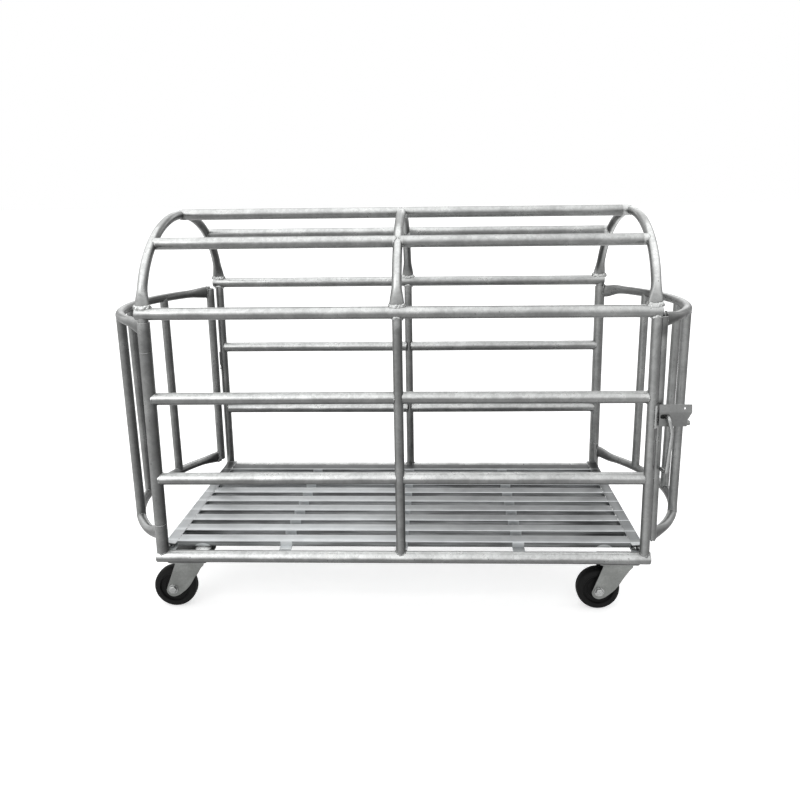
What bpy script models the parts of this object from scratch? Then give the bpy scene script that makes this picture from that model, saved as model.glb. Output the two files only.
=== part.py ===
"""Pig catching cage: a welded tube cage on four swivel casters.

A bulged door swings at each end, hung from opposite corners, so the two doors
are the same door turned half way round. Units are metres, +Z is up, and the
origin lies on the floor under the middle of the cage. +X is the right end and
-Y is the front.
"""
import math

import bmesh
import bpy
from mathutils import Matrix, Vector

# Cage frame, measured between tube axes
CAGE_LENGTH = 1.38
CAGE_WIDTH = 0.66
LOWER_RAIL_RISE = 0.238
MIDDLE_RAIL_RISE = 0.473
UPPER_RAIL_RISE = 0.712
ROOF_RISE = 0.256
SHOULDER_OFFSET = 0.231
RAIL_OVERHANG = 0.021

# Tubes: 34 mm pipe for rails and hinge sleeves, 27 mm pipe for the rest
RAIL_RADIUS = 0.017
RAIL_WALL = 0.0023
TUBE_RADIUS = 0.0135
TUBE_WALL = 0.0021
JOINT_GAP = 0.0003
RUNNING_GAP = 0.0007
SADDLE_REACH = 0.008

# Flattened tube ends, where arches and hoops are welded on
FLAT_HALF_WIDTH = 0.0205
FLAT_HALF_THICKNESS = 0.0065
FLAT_TAPER = 0.060

# Floor grate
SLAT_COUNT = 9
SLAT_WIDTH = 0.040
SLAT_PITCH = 0.0668
SLAT_HEIGHT = 0.016
SLAT_SHEET = 0.0020
SLAT_FRONT_GAP = 0.0145
END_BAR_WIDTH = 0.033
END_BAR_INSET = 0.0025
STRAP_WIDTH = 0.034
STRAP_THICKNESS = 0.0045
STRAP_DROP = 0.0020
WELD_BITE = 0.0006

# Doors
SLEEVE_LENGTH = 0.083
SLEEVE_TOP_NECK = 0.005
END_TUBE_OUT = 0.026
END_TUBE_IN = 0.028
DOOR_BULGE_TOP = 0.162
DOOR_BULGE_BOTTOM = 0.152
TOP_HOOP_DROP = 0.0290
BOTTOM_HOOP_RISE = 0.0565
TOP_ROOT_DIP = 0.0105
BOTTOM_ROOT_LIFT = 0.0110
BAR_SPREAD = 0.5

# Latch
LATCH_RISE = 0.4005
BOLT_RADIUS = 0.007
BOLT_TRAVEL = 0.013
BOLT_TAIL = 0.105
GUIDE_WALL = 0.0022
GUIDE_PLAY = 0.0005
GUIDE_START = 0.051
GUIDE_LENGTH = 0.039
PLATE_THICKNESS = 0.003
PLATE_FOOT_WIDTH = 0.094
PLATE_WIDTH = 0.107
PLATE_STEP_RISE = 0.009
PLATE_BEND_RISE = 0.033
PLATE_TOP_RISE = 0.054
PLATE_LEAN = 0.004
PLATE_HOLE_RADIUS = 0.003
SPACER_WIDTH = 0.013
SPACER_HEIGHT = 0.015
KEEPER_THICKNESS = 0.003
KEEPER_PLAY = 0.0017
KEEPER_ARC = (-75.0, 40.0)
HANDLE_RADIUS = 0.0055
HANDLE_X = 0.041
HANDLE_RISE = 0.021
HANDLE_DROP = 0.136
HANDLE_BULGE = 0.010
HANDLE_BULGE_DROP = 0.020
HANDLE_STANDOFF = 0.0245
HANDLE_RETURN = 0.0325
HANDLE_BEND = 0.009
HANDLE_PLAY = 0.0008

# Casters
WHEEL_RADIUS = 0.0625
WHEEL_WIDTH = 0.036
CASTER_HEIGHT = 0.1590
CASTER_INSET_X = 0.067
CASTER_INSET_Y = 0.040
CASTER_TRAIL = 0.052
TOP_PLATE_LENGTH = 0.115
TOP_PLATE_WIDTH = 0.090
TOP_PLATE_THICKNESS = 0.004
CAP_RADIUS = 0.024
CAP_HEIGHT = 0.007
RACE_RADIUS = 0.028
RACE_HEIGHT = 0.007
KINGPIN_RADIUS = 0.007
KINGPIN_HEAD_RADIUS = 0.011
KINGPIN_HEAD_HEIGHT = 0.005
FORK_SHEET = 0.0035
FORK_INNER_WIDTH = 0.046
FORK_CROWN_LENGTH = 0.084
FORK_END_RADIUS = 0.018
AXLE_RADIUS = 0.006
AXLE_CLEARANCE = 0.0005
HUB_SIDE_GAP = 0.001
HEX_RADIUS = 0.0105
HEX_HEIGHT = 0.007
PIN_CLEARANCE = 0.0006

# Facet counts
PIPE_SIDES = 16
THIN_SIDES = 12
ROD_SIDES = 8
TURNED_SIDES = 20
HOOP_STATIONS = 12
ARCH_STATIONS = 18

# Places that follow from the sizes above
HALF_LENGTH = CAGE_LENGTH / 2
HALF_WIDTH = CAGE_WIDTH / 2
BOTTOM_Z = CASTER_HEIGHT + JOINT_GAP + RAIL_RADIUS
LOWER_Z = BOTTOM_Z + LOWER_RAIL_RISE
MIDDLE_Z = BOTTOM_Z + MIDDLE_RAIL_RISE
UPPER_Z = BOTTOM_Z + UPPER_RAIL_RISE
RAIL_TOP = BOTTOM_Z + RAIL_RADIUS
RAIL_UNDERSIDE = UPPER_Z - RAIL_RADIUS
SLEEVE_BORE = TUBE_RADIUS + RUNNING_GAP
TOP_SLEEVE_TOP = RAIL_UNDERSIDE - SLEEVE_TOP_NECK
TOP_SLEEVE_BASE = TOP_SLEEVE_TOP - SLEEVE_LENGTH
LOW_SLEEVE_BASE = RAIL_TOP + 2 * JOINT_GAP
LOW_SLEEVE_TOP = LOW_SLEEVE_BASE + SLEEVE_LENGTH
LATCH_Z = BOTTOM_Z + LATCH_RISE
GUIDE_BORE = BOLT_RADIUS + GUIDE_PLAY
GUIDE_RADIUS = GUIDE_BORE + GUIDE_WALL
KEEPER_RADIUS = TUBE_RADIUS + JOINT_GAP + KEEPER_THICKNESS

# The door is drawn from its hinge axis, for the right end of the cage
END_TUBE = Vector((END_TUBE_OUT, END_TUBE_IN - CAGE_WIDTH, 0.0))
FAR_POST = Vector((0.0, -CAGE_WIDTH, 0.0))
BOLT_Y = END_TUBE.y - TUBE_RADIUS - JOINT_GAP - GUIDE_RADIUS
PLATE_BACK = BOLT_Y - GUIDE_RADIUS + WELD_BITE * 2
PLATE_FRONT = PLATE_BACK - PLATE_THICKNESS
PLATE_LEFT = KEEPER_RADIUS + KEEPER_PLAY

X_AXIS = Vector((1.0, 0.0, 0.0))
Y_AXIS = Vector((0.0, 1.0, 0.0))
Z_AXIS = Vector((0.0, 0.0, 1.0))


def clear_scene():
    """Start from an empty scene."""
    for item in list(bpy.data.objects):
        bpy.data.objects.remove(item, do_unlink=True)


def finish(name, colour, roughness, metallic):
    """A Principled material for one finish."""
    material = bpy.data.materials.new(name)
    material.use_nodes = True
    shader = material.node_tree.nodes["Principled BSDF"]
    shader.inputs["Base Color"].default_value = (*colour, 1.0)
    shader.inputs["Roughness"].default_value = roughness
    shader.inputs["Metallic"].default_value = metallic
    material.diffuse_color = (*colour, 1.0)
    return material


def to_mesh(bm, name):
    """Turn a bmesh into a mesh whose faces point outwards, shaded smooth but for its edges."""
    bmesh.ops.remove_doubles(bm, verts=bm.verts, dist=1e-6)
    bmesh.ops.recalc_face_normals(bm, faces=bm.faces)
    mesh = bpy.data.meshes.new(name)
    bm.to_mesh(mesh)
    bm.free()
    mesh.shade_smooth()
    mesh.set_sharp_from_angle(angle=math.radians(35))
    return mesh


def add_object(name, mesh, material=None, location=(0, 0, 0), turn=0.0, parent=None):
    """Put a mesh in the scene, turned about Z, under a parent if one is given."""
    item = bpy.data.objects.new(name, mesh)
    bpy.context.scene.collection.objects.link(item)
    item.parent = parent
    item.location = location
    item.rotation_euler = (0.0, 0.0, turn)
    if material is not None and not mesh.materials:
        mesh.materials.append(material)
    return item


def add_pivot(name, location, turn=0.0, parent=None):
    """An empty on a joint's axis, which carries the pieces of one moving body."""
    pivot = bpy.data.objects.new(name, None)
    bpy.context.scene.collection.objects.link(pivot)
    pivot.parent = parent
    pivot.location = location
    pivot.rotation_euler = (0.0, 0.0, turn)
    return pivot


def combine(mesh, others, operation):
    """Boolean a mesh with others and return the result."""
    base = add_object("working", mesh)
    tools = []
    for number, other in enumerate(others):
        tool = add_object(f"tool_{number}", other)
        tool.hide_render = True
        tool.display_type = "WIRE"
        modifier = base.modifiers.new(f"step_{number}", "BOOLEAN")
        modifier.operation = operation
        modifier.solver = "EXACT"
        modifier.object = tool
        tools.append(tool)
    depsgraph = bpy.context.evaluated_depsgraph_get()
    depsgraph.update()
    result = bpy.data.meshes.new_from_object(base.evaluated_get(depsgraph))
    result.name = mesh.name
    for item in [base, *tools]:
        bpy.data.objects.remove(item, do_unlink=True)
    result.shade_smooth()
    result.set_sharp_from_angle(angle=math.radians(35))
    return result


def cut(mesh, *tools):
    return combine(mesh, tools, "DIFFERENCE")


def weld(mesh, *others):
    return combine(mesh, others, "UNION")


def moved(mesh, offset, turn=0.0):
    """A copy of a mesh, turned about Z and then moved."""
    copy = mesh.copy()
    copy.transform(Matrix.Translation(offset) @ Matrix.Rotation(turn, 4, "Z"))
    return copy


def sweep(name, stations, sides, wall=0.0):
    """Skin a tube through stations of (centre, axis a, axis b, half size a, half size b).

    With a wall it is a pipe with open ends, and without one it is a solid bar.
    """
    bm = bmesh.new()

    def ring(station, inset):
        centre, axis_a, axis_b, half_a, half_b = station
        loop = []
        for number in range(sides):
            angle = 2 * math.pi * (number + 0.5) / sides
            along_a = axis_a * (half_a - inset) * math.cos(angle)
            along_b = axis_b * (half_b - inset) * math.sin(angle)
            loop.append(bm.verts.new(centre + along_a + along_b))
        return loop

    def bridge(first, second):
        for number in range(sides):
            after = (number + 1) % sides
            bm.faces.new((first[number], first[after], second[after], second[number]))

    skins = [[ring(station, 0.0) for station in stations]]
    if wall:
        skins.append([ring(station, wall) for station in stations])
    for skin in skins:
        for first, second in zip(skin, skin[1:]):
            bridge(first, second)
    for end in (0, -1):
        if wall:
            bridge(skins[0][end], skins[1][end])
        else:
            bm.faces.new(skins[0][end])
    return to_mesh(bm, name)


def straight(name, start, end, radius, wall=0.0, sides=PIPE_SIDES):
    """A straight pipe or bar between two points."""
    along = (end - start).normalized()
    side = along.cross(Z_AXIS if abs(along.z) < 0.9 else X_AXIS).normalized()
    up = side.cross(along)
    stations = [(start, side, up, radius, radius), (end, side, up, radius, radius)]
    return sweep(name, stations, sides, wall)


def path_stations(points, normal, radius, grow=0.0):
    """Stations of a round bar along a flat path, in the plane square to normal."""
    stations = []
    for number, point in enumerate(points):
        before = points[max(number - 1, 0)]
        after = points[min(number + 1, len(points) - 1)]
        side = (after - before).normalized().cross(normal).normalized()
        stations.append((point, normal, side, radius + grow, radius + grow))
    return stations


def flattened(stations, seat, grow=0.0):
    """Flatten both ends of a round tube, fully up to seat and less over the taper."""
    centres = [station[0] for station in stations]
    run = [0.0]
    for first, second in zip(centres, centres[1:]):
        run.append(run[-1] + (second - first).length)
    result = []
    for (centre, normal, side, _, _), place in zip(stations, run):
        reach = min(place, run[-1] - place)
        part = min(max((reach - seat) / FLAT_TAPER, 0.0), 1.0)
        blend = part * part * (3 - 2 * part)
        wide = FLAT_HALF_WIDTH + (TUBE_RADIUS - FLAT_HALF_WIDTH) * blend
        thin = FLAT_HALF_THICKNESS + (TUBE_RADIUS - FLAT_HALF_THICKNESS) * blend
        result.append((centre, normal, side, wide + grow, thin + grow))
    return result


def eased(count, ease=0.3):
    """Fractions from 0 to 1 that lie closer together near both ends."""
    steps = [number / count for number in range(count + 1)]
    return [step - ease * math.sin(2 * math.pi * step) / (2 * math.pi) for step in steps]


def block(name, low, high):
    """A box between two corners."""
    bm = bmesh.new()
    bmesh.ops.create_cube(bm, size=1.0)
    low, high = Vector(low), Vector(high)
    for vert in bm.verts:
        vert.co = Vector(
            (low[axis] + (vert.co[axis] + 0.5) * (high[axis] - low[axis]) for axis in range(3))
        )
    return to_mesh(bm, name)


def prism(name, outline, start, end):
    """Extrude a closed outline of 3-D points from the offset start to the offset end."""
    bm = bmesh.new()
    low = [bm.verts.new(point + start) for point in outline]
    high = [bm.verts.new(point + end) for point in outline]
    bm.faces.new(low)
    bm.faces.new(high)
    for number in range(len(outline)):
        after = (number + 1) % len(outline)
        bm.faces.new((low[number], low[after], high[after], high[number]))
    return to_mesh(bm, name)


def turned(name, profile, axis, sides=TURNED_SIDES):
    """Turn a closed profile of (radius, place along the axis) round the Y or the Z axis."""
    bm = bmesh.new()
    loop = [bm.verts.new(X_AXIS * radius + axis * along) for radius, along in profile]
    edges = [bm.edges.new((loop[number - 1], loop[number])) for number in range(len(loop))]
    bmesh.ops.spin(bm, geom=loop + edges, cent=(0, 0, 0), axis=axis,
                   angle=2 * math.pi, steps=sides, use_duplicate=False)
    return to_mesh(bm, name)


def rounded_path(points, bend, steps=3):
    """A path through points with each inner corner turned to an arc-like bend."""
    path = [points[0]]
    for before, corner, after in zip(points, points[1:], points[2:]):
        reach = min(bend, (before - corner).length / 2, (after - corner).length / 2)
        start = corner + (before - corner).normalized() * reach
        end = corner + (after - corner).normalized() * reach
        for number in range(steps + 1):
            part = number / steps
            path.append(start.lerp(corner, part).lerp(corner.lerp(end, part), part))
    path.append(points[-1])
    return path


def bent_rod(name, points, radius, sides):
    """A round rod along a path in space, its section carried along without twist."""
    side = (points[1] - points[0]).normalized().orthogonal().normalized()
    stations = []
    for number, point in enumerate(points):
        before = points[max(number - 1, 0)]
        after = points[min(number + 1, len(points) - 1)]
        along = (after - before).normalized()
        side = (side - along * side.dot(along)).normalized()
        stations.append((point, side, along.cross(side), radius, radius))
    return sweep(name, stations, sides)


# Frame

def arch_points():
    """Half an ellipse over the cage, from one upper rail's axis to the other's."""
    points = []
    for step in eased(ARCH_STATIONS):
        angle = math.pi * step
        across = -HALF_WIDTH * math.cos(angle)
        points.append(Vector((0.0, across, UPPER_Z + ROOF_RISE * math.sin(angle))))
    return points


def arch_stations(grow=0.0):
    stations = path_stations(arch_points(), X_AXIS, TUBE_RADIUS)
    return flattened(stations, RAIL_RADIUS, grow)


def rail_void(z):
    """The space of a side rail at the front and at the rear, with its weld gap."""
    reach = HALF_LENGTH + RAIL_OVERHANG * 2
    return [
        straight("void", Vector((-reach, y, z)), Vector((reach, y, z)), RAIL_RADIUS + JOINT_GAP)
        for y in (-HALF_WIDTH, HALF_WIDTH)
    ]


def arch_mesh():
    pipe = sweep("arch", arch_stations(), THIN_SIDES, TUBE_WALL)
    return cut(pipe, *rail_void(UPPER_Z))


def long_rail_mesh():
    """An upper or bottom rail, in one length past both corner posts."""
    reach = HALF_LENGTH + RAIL_OVERHANG
    return straight("long_rail", X_AXIS * -reach, X_AXIS * reach, RAIL_RADIUS, RAIL_WALL)


def post_void(x, radius):
    reach = 2 * RAIL_RADIUS
    return straight("void", Vector((x, 0, -reach)), Vector((x, 0, reach)),
                    radius + JOINT_GAP, sides=TURNED_SIDES)


def side_rail_mesh(corner_radius):
    """Half a side rail to the right of the middle post, saddled to both of its posts."""
    start = X_AXIS * SADDLE_REACH
    end = X_AXIS * (HALF_LENGTH - SADDLE_REACH)
    pipe = straight("side_rail", start, end, RAIL_RADIUS, RAIL_WALL)
    return cut(pipe, post_void(0.0, TUBE_RADIUS), post_void(HALF_LENGTH, corner_radius))


def roof_rail_mesh(y):
    """Half a roof rail to the right of the middle arch, saddled to both of its arches."""
    z = UPPER_Z + ROOF_RISE * math.sqrt(1 - (y / HALF_WIDTH) ** 2)
    start = Vector((SADDLE_REACH, y, z))
    end = Vector((HALF_LENGTH - SADDLE_REACH, y, z))
    pipe = straight("roof_rail", start, end, RAIL_RADIUS, RAIL_WALL)
    arch = sweep("void", arch_stations(JOINT_GAP), PIPE_SIDES)
    return cut(pipe, arch, moved(arch, X_AXIS * HALF_LENGTH))


def rail_cutters():
    """The bottom and the upper rail as a post at the origin meets them."""
    reach = 2 * RAIL_RADIUS
    return [
        straight("void", Vector((-reach, 0, z)), Vector((reach, 0, z)), RAIL_RADIUS + JOINT_GAP)
        for z in (BOTTOM_Z, UPPER_Z)
    ]


def post_mesh():
    pipe = straight("post", Z_AXIS * BOTTOM_Z, Z_AXIS * UPPER_Z, TUBE_RADIUS, TUBE_WALL)
    return cut(pipe, *rail_cutters())


def latch_post_mesh():
    """A corner post with its keeper saddle, and the hole that the latch bolt enters."""
    inner = TUBE_RADIUS - TUBE_WALL / 2
    start, end = (math.radians(angle) for angle in KEEPER_ARC)
    turns = [start + (end - start) * number / 7 for number in range(8)]
    arc = [(inner, turn) for turn in turns] + [(KEEPER_RADIUS, turn) for turn in reversed(turns)]
    outline = [Vector((radius * math.cos(turn), radius * math.sin(turn), 0)) for radius, turn in arc]
    low = Z_AXIS * (LATCH_Z - BOLT_RADIUS - KEEPER_THICKNESS)
    high = Z_AXIS * (LATCH_Z + PLATE_TOP_RISE)
    bolt_place = Vector((0, BOLT_Y - FAR_POST.y, LATCH_Z))
    hole = straight("hole", bolt_place, bolt_place + X_AXIS * TUBE_RADIUS * 2,
                    BOLT_RADIUS + GUIDE_PLAY * 2)
    return cut(weld(post_mesh(), prism("latch_keeper", outline, low, high)), hole)


def hinge_post_mesh():
    """A corner post with a thicker middle, which leaves a spigot for each door sleeve."""
    bore = TUBE_RADIUS - TUBE_WALL
    shoulder_low = LOW_SLEEVE_TOP + JOINT_GAP
    shoulder_high = TOP_SLEEVE_BASE - JOINT_GAP
    profile = [
        (bore, BOTTOM_Z), (TUBE_RADIUS, BOTTOM_Z),
        (TUBE_RADIUS, shoulder_low), (RAIL_RADIUS, shoulder_low),
        (RAIL_RADIUS, shoulder_high), (TUBE_RADIUS, shoulder_high),
        (TUBE_RADIUS, UPPER_Z), (bore, UPPER_Z),
    ]
    return cut(turned("hinge_post", profile, Z_AXIS), *rail_cutters())


def floor_grate_mesh():
    """Slats of turned-down channel between two end bars, on flat straps."""
    top = RAIL_TOP - STRAP_DROP + SLAT_HEIGHT
    base = top - SLAT_HEIGHT
    bar_outer = HALF_LENGTH + END_BAR_INSET
    bar_inner = bar_outer - END_BAR_WIDTH
    bar_reach = HALF_WIDTH - RAIL_RADIUS - 5 * JOINT_GAP
    strap_reach = HALF_WIDTH - TUBE_RADIUS - 2 * JOINT_GAP
    first = -HALF_WIDTH + RAIL_RADIUS + SLAT_FRONT_GAP
    pieces = []
    for side in (-1, 1):
        outline = [
            Vector((side * x, 0, z)) for x, z in (
                (bar_outer, base), (bar_outer, top), (bar_inner, top),
                (bar_inner, top - SLAT_SHEET * 1.5), (bar_outer - SLAT_SHEET * 1.5, top - SLAT_SHEET * 1.5),
                (bar_outer - SLAT_SHEET * 1.5, base))
        ]
        pieces.append(prism("end_bar", outline, Y_AXIS * -bar_reach, Y_AXIS * bar_reach))
    strap_places = [bar_outer - STRAP_WIDTH / 2, HALF_LENGTH * 0.49, 0.0]
    for x in strap_places + [-place for place in strap_places[:2]]:
        low = (x - STRAP_WIDTH / 2, -strap_reach, base - STRAP_THICKNESS)
        high = (x + STRAP_WIDTH / 2, strap_reach, base + WELD_BITE)
        pieces.append(block("strap", low, high))
    for number in range(SLAT_COUNT):
        front = first + number * SLAT_PITCH
        back = front + SLAT_WIDTH
        ceiling = top - SLAT_SHEET
        slat_top = top - WELD_BITE / 2
        outline = [
            Vector((0, y, z)) for y, z in (
                (front, base), (front, slat_top), (back, slat_top), (back, base),
                (back - SLAT_SHEET, base), (back - SLAT_SHEET, ceiling),
                (front + SLAT_SHEET, ceiling), (front + SLAT_SHEET, base))
        ]
        reach = bar_inner + WELD_BITE
        pieces.append(prism("slat", outline, X_AXIS * -reach, X_AXIS * reach))
    return weld(pieces[0], *pieces[1:])


# Door, drawn from the hinge axis of the right end

def hoop_arc(bulge, start_reach):
    """The arc from the hinge axis to the end tube, from start_reach past the axis on."""
    chord = END_TUBE.length
    radius = (chord ** 2 / 4 + bulge ** 2) / (2 * bulge)
    half_angle = math.asin(chord / 2 / radius)
    along = END_TUBE.normalized()
    outward = Vector((-along.y, along.x, 0.0))
    centre = END_TUBE / 2 - outward * (radius - bulge)

    def at(fraction):
        angle = half_angle * (2 * fraction - 1)
        return centre + outward * radius * math.cos(angle) + along * radius * math.sin(angle)

    skip = start_reach / (2 * half_angle * radius)
    return at, skip


def hoop_points(z, bulge, root_shift):
    """The hoop's centre line, dipped or lifted by root_shift where it leaves the sleeve."""
    root = SLEEVE_BORE + JOINT_GAP * 2
    at, skip = hoop_arc(bulge, root)
    points = []
    for step in eased(HOOP_STATIONS):
        point = at(skip + (1 - skip) * step)
        reach = (point.xy.length - root) / FLAT_TAPER
        blend = min(max(reach, 0.0), 1.0)
        shift = root_shift * (1 - blend * blend * (3 - 2 * blend))
        points.append(Vector((point.x, point.y, z + shift)))
    return points


def hoop_stations(level, grow=0.0):
    z, bulge, root_shift = level
    stations = path_stations(hoop_points(z, bulge, root_shift), Z_AXIS, TUBE_RADIUS)
    return flattened(stations, 0.0, grow)


TOP_HOOP = (UPPER_Z - TOP_HOOP_DROP, DOOR_BULGE_TOP, -TOP_ROOT_DIP)
BOTTOM_HOOP = (BOTTOM_Z + BOTTOM_HOOP_RISE, DOOR_BULGE_BOTTOM, BOTTOM_ROOT_LIFT)


def hoop_mesh(level, sleeve_base):
    """A bent hoop with its hinge sleeve, saddled to the end tube."""
    pipe = sweep("hoop", hoop_stations(level), THIN_SIDES, TUBE_WALL)
    end_void = straight("void", END_TUBE + Z_AXIS * (level[0] - 0.1),
                        END_TUBE + Z_AXIS * (level[0] + 0.1), TUBE_RADIUS + JOINT_GAP)
    sleeve = turned("sleeve", [
        (SLEEVE_BORE, sleeve_base), (RAIL_RADIUS, sleeve_base),
        (RAIL_RADIUS, sleeve_base + SLEEVE_LENGTH), (SLEEVE_BORE, sleeve_base + SLEEVE_LENGTH),
    ], Z_AXIS)
    return weld(cut(pipe, end_void), sleeve)


def door_bar_mesh(fraction):
    """An upright bar between the two hoops, at a fraction of their arcs."""
    ends = []
    for z, bulge, _ in (BOTTOM_HOOP, TOP_HOOP):
        at, _ = hoop_arc(bulge, 0.0)
        ends.append(at(fraction) + Z_AXIS * z)
    pipe = straight("door_bar", ends[0], ends[1], TUBE_RADIUS, TUBE_WALL, THIN_SIDES)
    voids = [sweep("void", hoop_stations(level, JOINT_GAP), PIPE_SIDES)
             for level in (BOTTOM_HOOP, TOP_HOOP)]
    return cut(pipe, *voids)


def end_tube_mesh():
    base = BOTTOM_HOOP[0] - FLAT_HALF_WIDTH / 2
    top = RAIL_UNDERSIDE - 3 * JOINT_GAP
    return straight("end_tube", END_TUBE + Z_AXIS * base, END_TUBE + Z_AXIS * top,
                    TUBE_RADIUS, TUBE_WALL)


# Latch, drawn from the same hinge axis, with its bolt drawn back

def latch_plate_mesh():
    """Folded plate with a guide tube for the bolt and a spacer to the end tube."""
    low = LATCH_Z - BOLT_RADIUS
    step = LATCH_Z + PLATE_STEP_RISE
    bend = LATCH_Z + PLATE_BEND_RISE
    top = LATCH_Z + PLATE_TOP_RISE
    face = [(PLATE_LEFT, low), (PLATE_FOOT_WIDTH, low), (PLATE_FOOT_WIDTH, step),
            (PLATE_WIDTH, bend), (PLATE_LEFT, bend)]
    fold = [(PLATE_LEFT, bend), (PLATE_WIDTH, bend), (PLATE_WIDTH, top), (PLATE_LEFT, top)]
    bm = bmesh.new()
    for outline in (face, fold):
        sheets = []
        for y in (PLATE_FRONT, PLATE_BACK):
            points = [Vector((x, y + (PLATE_LEAN if z == top else 0.0), z)) for x, z in outline]
            sheets.append([bm.verts.new(point) for point in points])
            bm.faces.new(sheets[-1])
        for number in range(len(outline)):
            after = (number + 1) % len(outline)
            if outline[number][1] == bend and outline[after][1] == bend:
                continue
            bm.faces.new((sheets[0][number], sheets[0][after], sheets[1][after], sheets[1][number]))
    plate = to_mesh(bm, "latch_plate")
    middle = LATCH_Z + (PLATE_BEND_RISE + PLATE_TOP_RISE) / 2
    spacer_x = END_TUBE.x
    spacer = block("spacer", (spacer_x - SPACER_WIDTH / 2, PLATE_BACK - WELD_BITE, middle - SPACER_HEIGHT),
                   (spacer_x + SPACER_WIDTH / 2, END_TUBE.y - TUBE_RADIUS - JOINT_GAP, middle))
    start = Vector((GUIDE_START, BOLT_Y, LATCH_Z))
    guide = straight("guide", start, start + X_AXIS * GUIDE_LENGTH, GUIDE_RADIUS, GUIDE_WALL)
    slot_half = HANDLE_RADIUS + HANDLE_PLAY
    slot_z = LATCH_Z + HANDLE_RISE
    slot_depth = PLATE_THICKNESS * 2
    slot = []
    for centre, quarter in ((HANDLE_X, -90), (HANDLE_X - BOLT_TRAVEL, 90)):
        for number in range(7):
            angle = math.radians(quarter + 30 * number)
            slot.append(Vector((centre + slot_half * math.cos(angle), PLATE_FRONT,
                                slot_z + slot_half * math.sin(angle))))
    slot_cutter = prism("slot", slot, Y_AXIS * -slot_depth, Y_AXIS * slot_depth)
    hole_at = Vector((PLATE_FOOT_WIDTH - BOLT_RADIUS, PLATE_FRONT, middle))
    hole = straight("hole", hole_at - Y_AXIS * slot_depth, hole_at + Y_AXIS * slot_depth,
                    PLATE_HOLE_RADIUS, sides=THIN_SIDES)
    return cut(weld(plate, spacer, guide), slot_cutter, hole)


def latch_bolt_mesh():
    """Round bolt with its bent handle rod welded on."""
    tip = Vector((PLATE_LEFT, BOLT_Y, LATCH_Z))
    tail = Vector((BOLT_TAIL, BOLT_Y, LATCH_Z))
    bolt = straight("latch_bolt", tip, tail, BOLT_RADIUS)
    front = BOLT_Y - HANDLE_STANDOFF
    points = [
        Vector((HANDLE_X, BOLT_Y, LATCH_Z)),
        Vector((HANDLE_X, BOLT_Y, LATCH_Z + HANDLE_RISE)),
        Vector((HANDLE_X, front, LATCH_Z + HANDLE_RISE)),
        Vector((HANDLE_X + HANDLE_BULGE, front, LATCH_Z - HANDLE_BULGE_DROP)),
        Vector((HANDLE_X, front, LATCH_Z - HANDLE_DROP)),
        Vector((HANDLE_X - HANDLE_RADIUS, front + HANDLE_RETURN, LATCH_Z - HANDLE_DROP)),
    ]
    rod = bent_rod("rod", rounded_path(points, HANDLE_BEND), HANDLE_RADIUS, ROD_SIDES)
    return weld(bolt, rod)


# Caster, drawn from its swivel axis with the wheel trailing towards -X

CROWN_TOP = CASTER_HEIGHT - TOP_PLATE_THICKNESS - RACE_HEIGHT - JOINT_GAP
CROWN_BASE = CROWN_TOP - FORK_SHEET
HUB_BORE = AXLE_RADIUS + AXLE_CLEARANCE
FORK_HALF_INNER = FORK_INNER_WIDTH / 2
FORK_HALF_OUTER = FORK_HALF_INNER + FORK_SHEET


def caster_plate_mesh():
    """Top plate, domed cap, swivel race and kingpin, riveted into one piece."""
    top = CASTER_HEIGHT
    under = top - TOP_PLATE_THICKNESS
    plate = block("plate", (-TOP_PLATE_LENGTH / 2, -TOP_PLATE_WIDTH / 2, under),
                  (TOP_PLATE_LENGTH / 2, TOP_PLATE_WIDTH / 2, top))
    head_top = CROWN_BASE - JOINT_GAP
    profile = [
        (0.0, head_top - KINGPIN_HEAD_HEIGHT),
        (KINGPIN_HEAD_RADIUS, head_top - KINGPIN_HEAD_HEIGHT), (KINGPIN_HEAD_RADIUS, head_top),
        (KINGPIN_RADIUS, head_top), (KINGPIN_RADIUS, under - RACE_HEIGHT),
        (RACE_RADIUS, under - RACE_HEIGHT), (RACE_RADIUS + 0.002, under + WELD_BITE),
        (CAP_RADIUS, under + WELD_BITE), (CAP_RADIUS, top + CAP_HEIGHT * 0.4),
        (CAP_RADIUS * 0.7, top + CAP_HEIGHT * 0.85), (0.0, top + CAP_HEIGHT),
    ]
    return weld(plate, lathe("pin", profile))


def lathe(name, profile, sides=TURNED_SIDES):
    """Turn an open profile that starts and ends on the Z axis into a closed solid."""
    bm = bmesh.new()
    poles = [bm.verts.new((0, 0, profile[0][1])), bm.verts.new((0, 0, profile[-1][1]))]
    rings = []
    for radius, z in profile[1:-1]:
        ring = []
        for number in range(sides):
            angle = 2 * math.pi * number / sides
            ring.append(bm.verts.new((radius * math.cos(angle), radius * math.sin(angle), z)))
        rings.append(ring)
    for number in range(sides):
        after = (number + 1) % sides
        bm.faces.new((poles[0], rings[0][after], rings[0][number]))
        bm.faces.new((poles[1], rings[-1][number], rings[-1][after]))
        for low, high in zip(rings, rings[1:]):
            bm.faces.new((low[number], low[after], high[after], high[number]))
    return to_mesh(bm, name)


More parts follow.
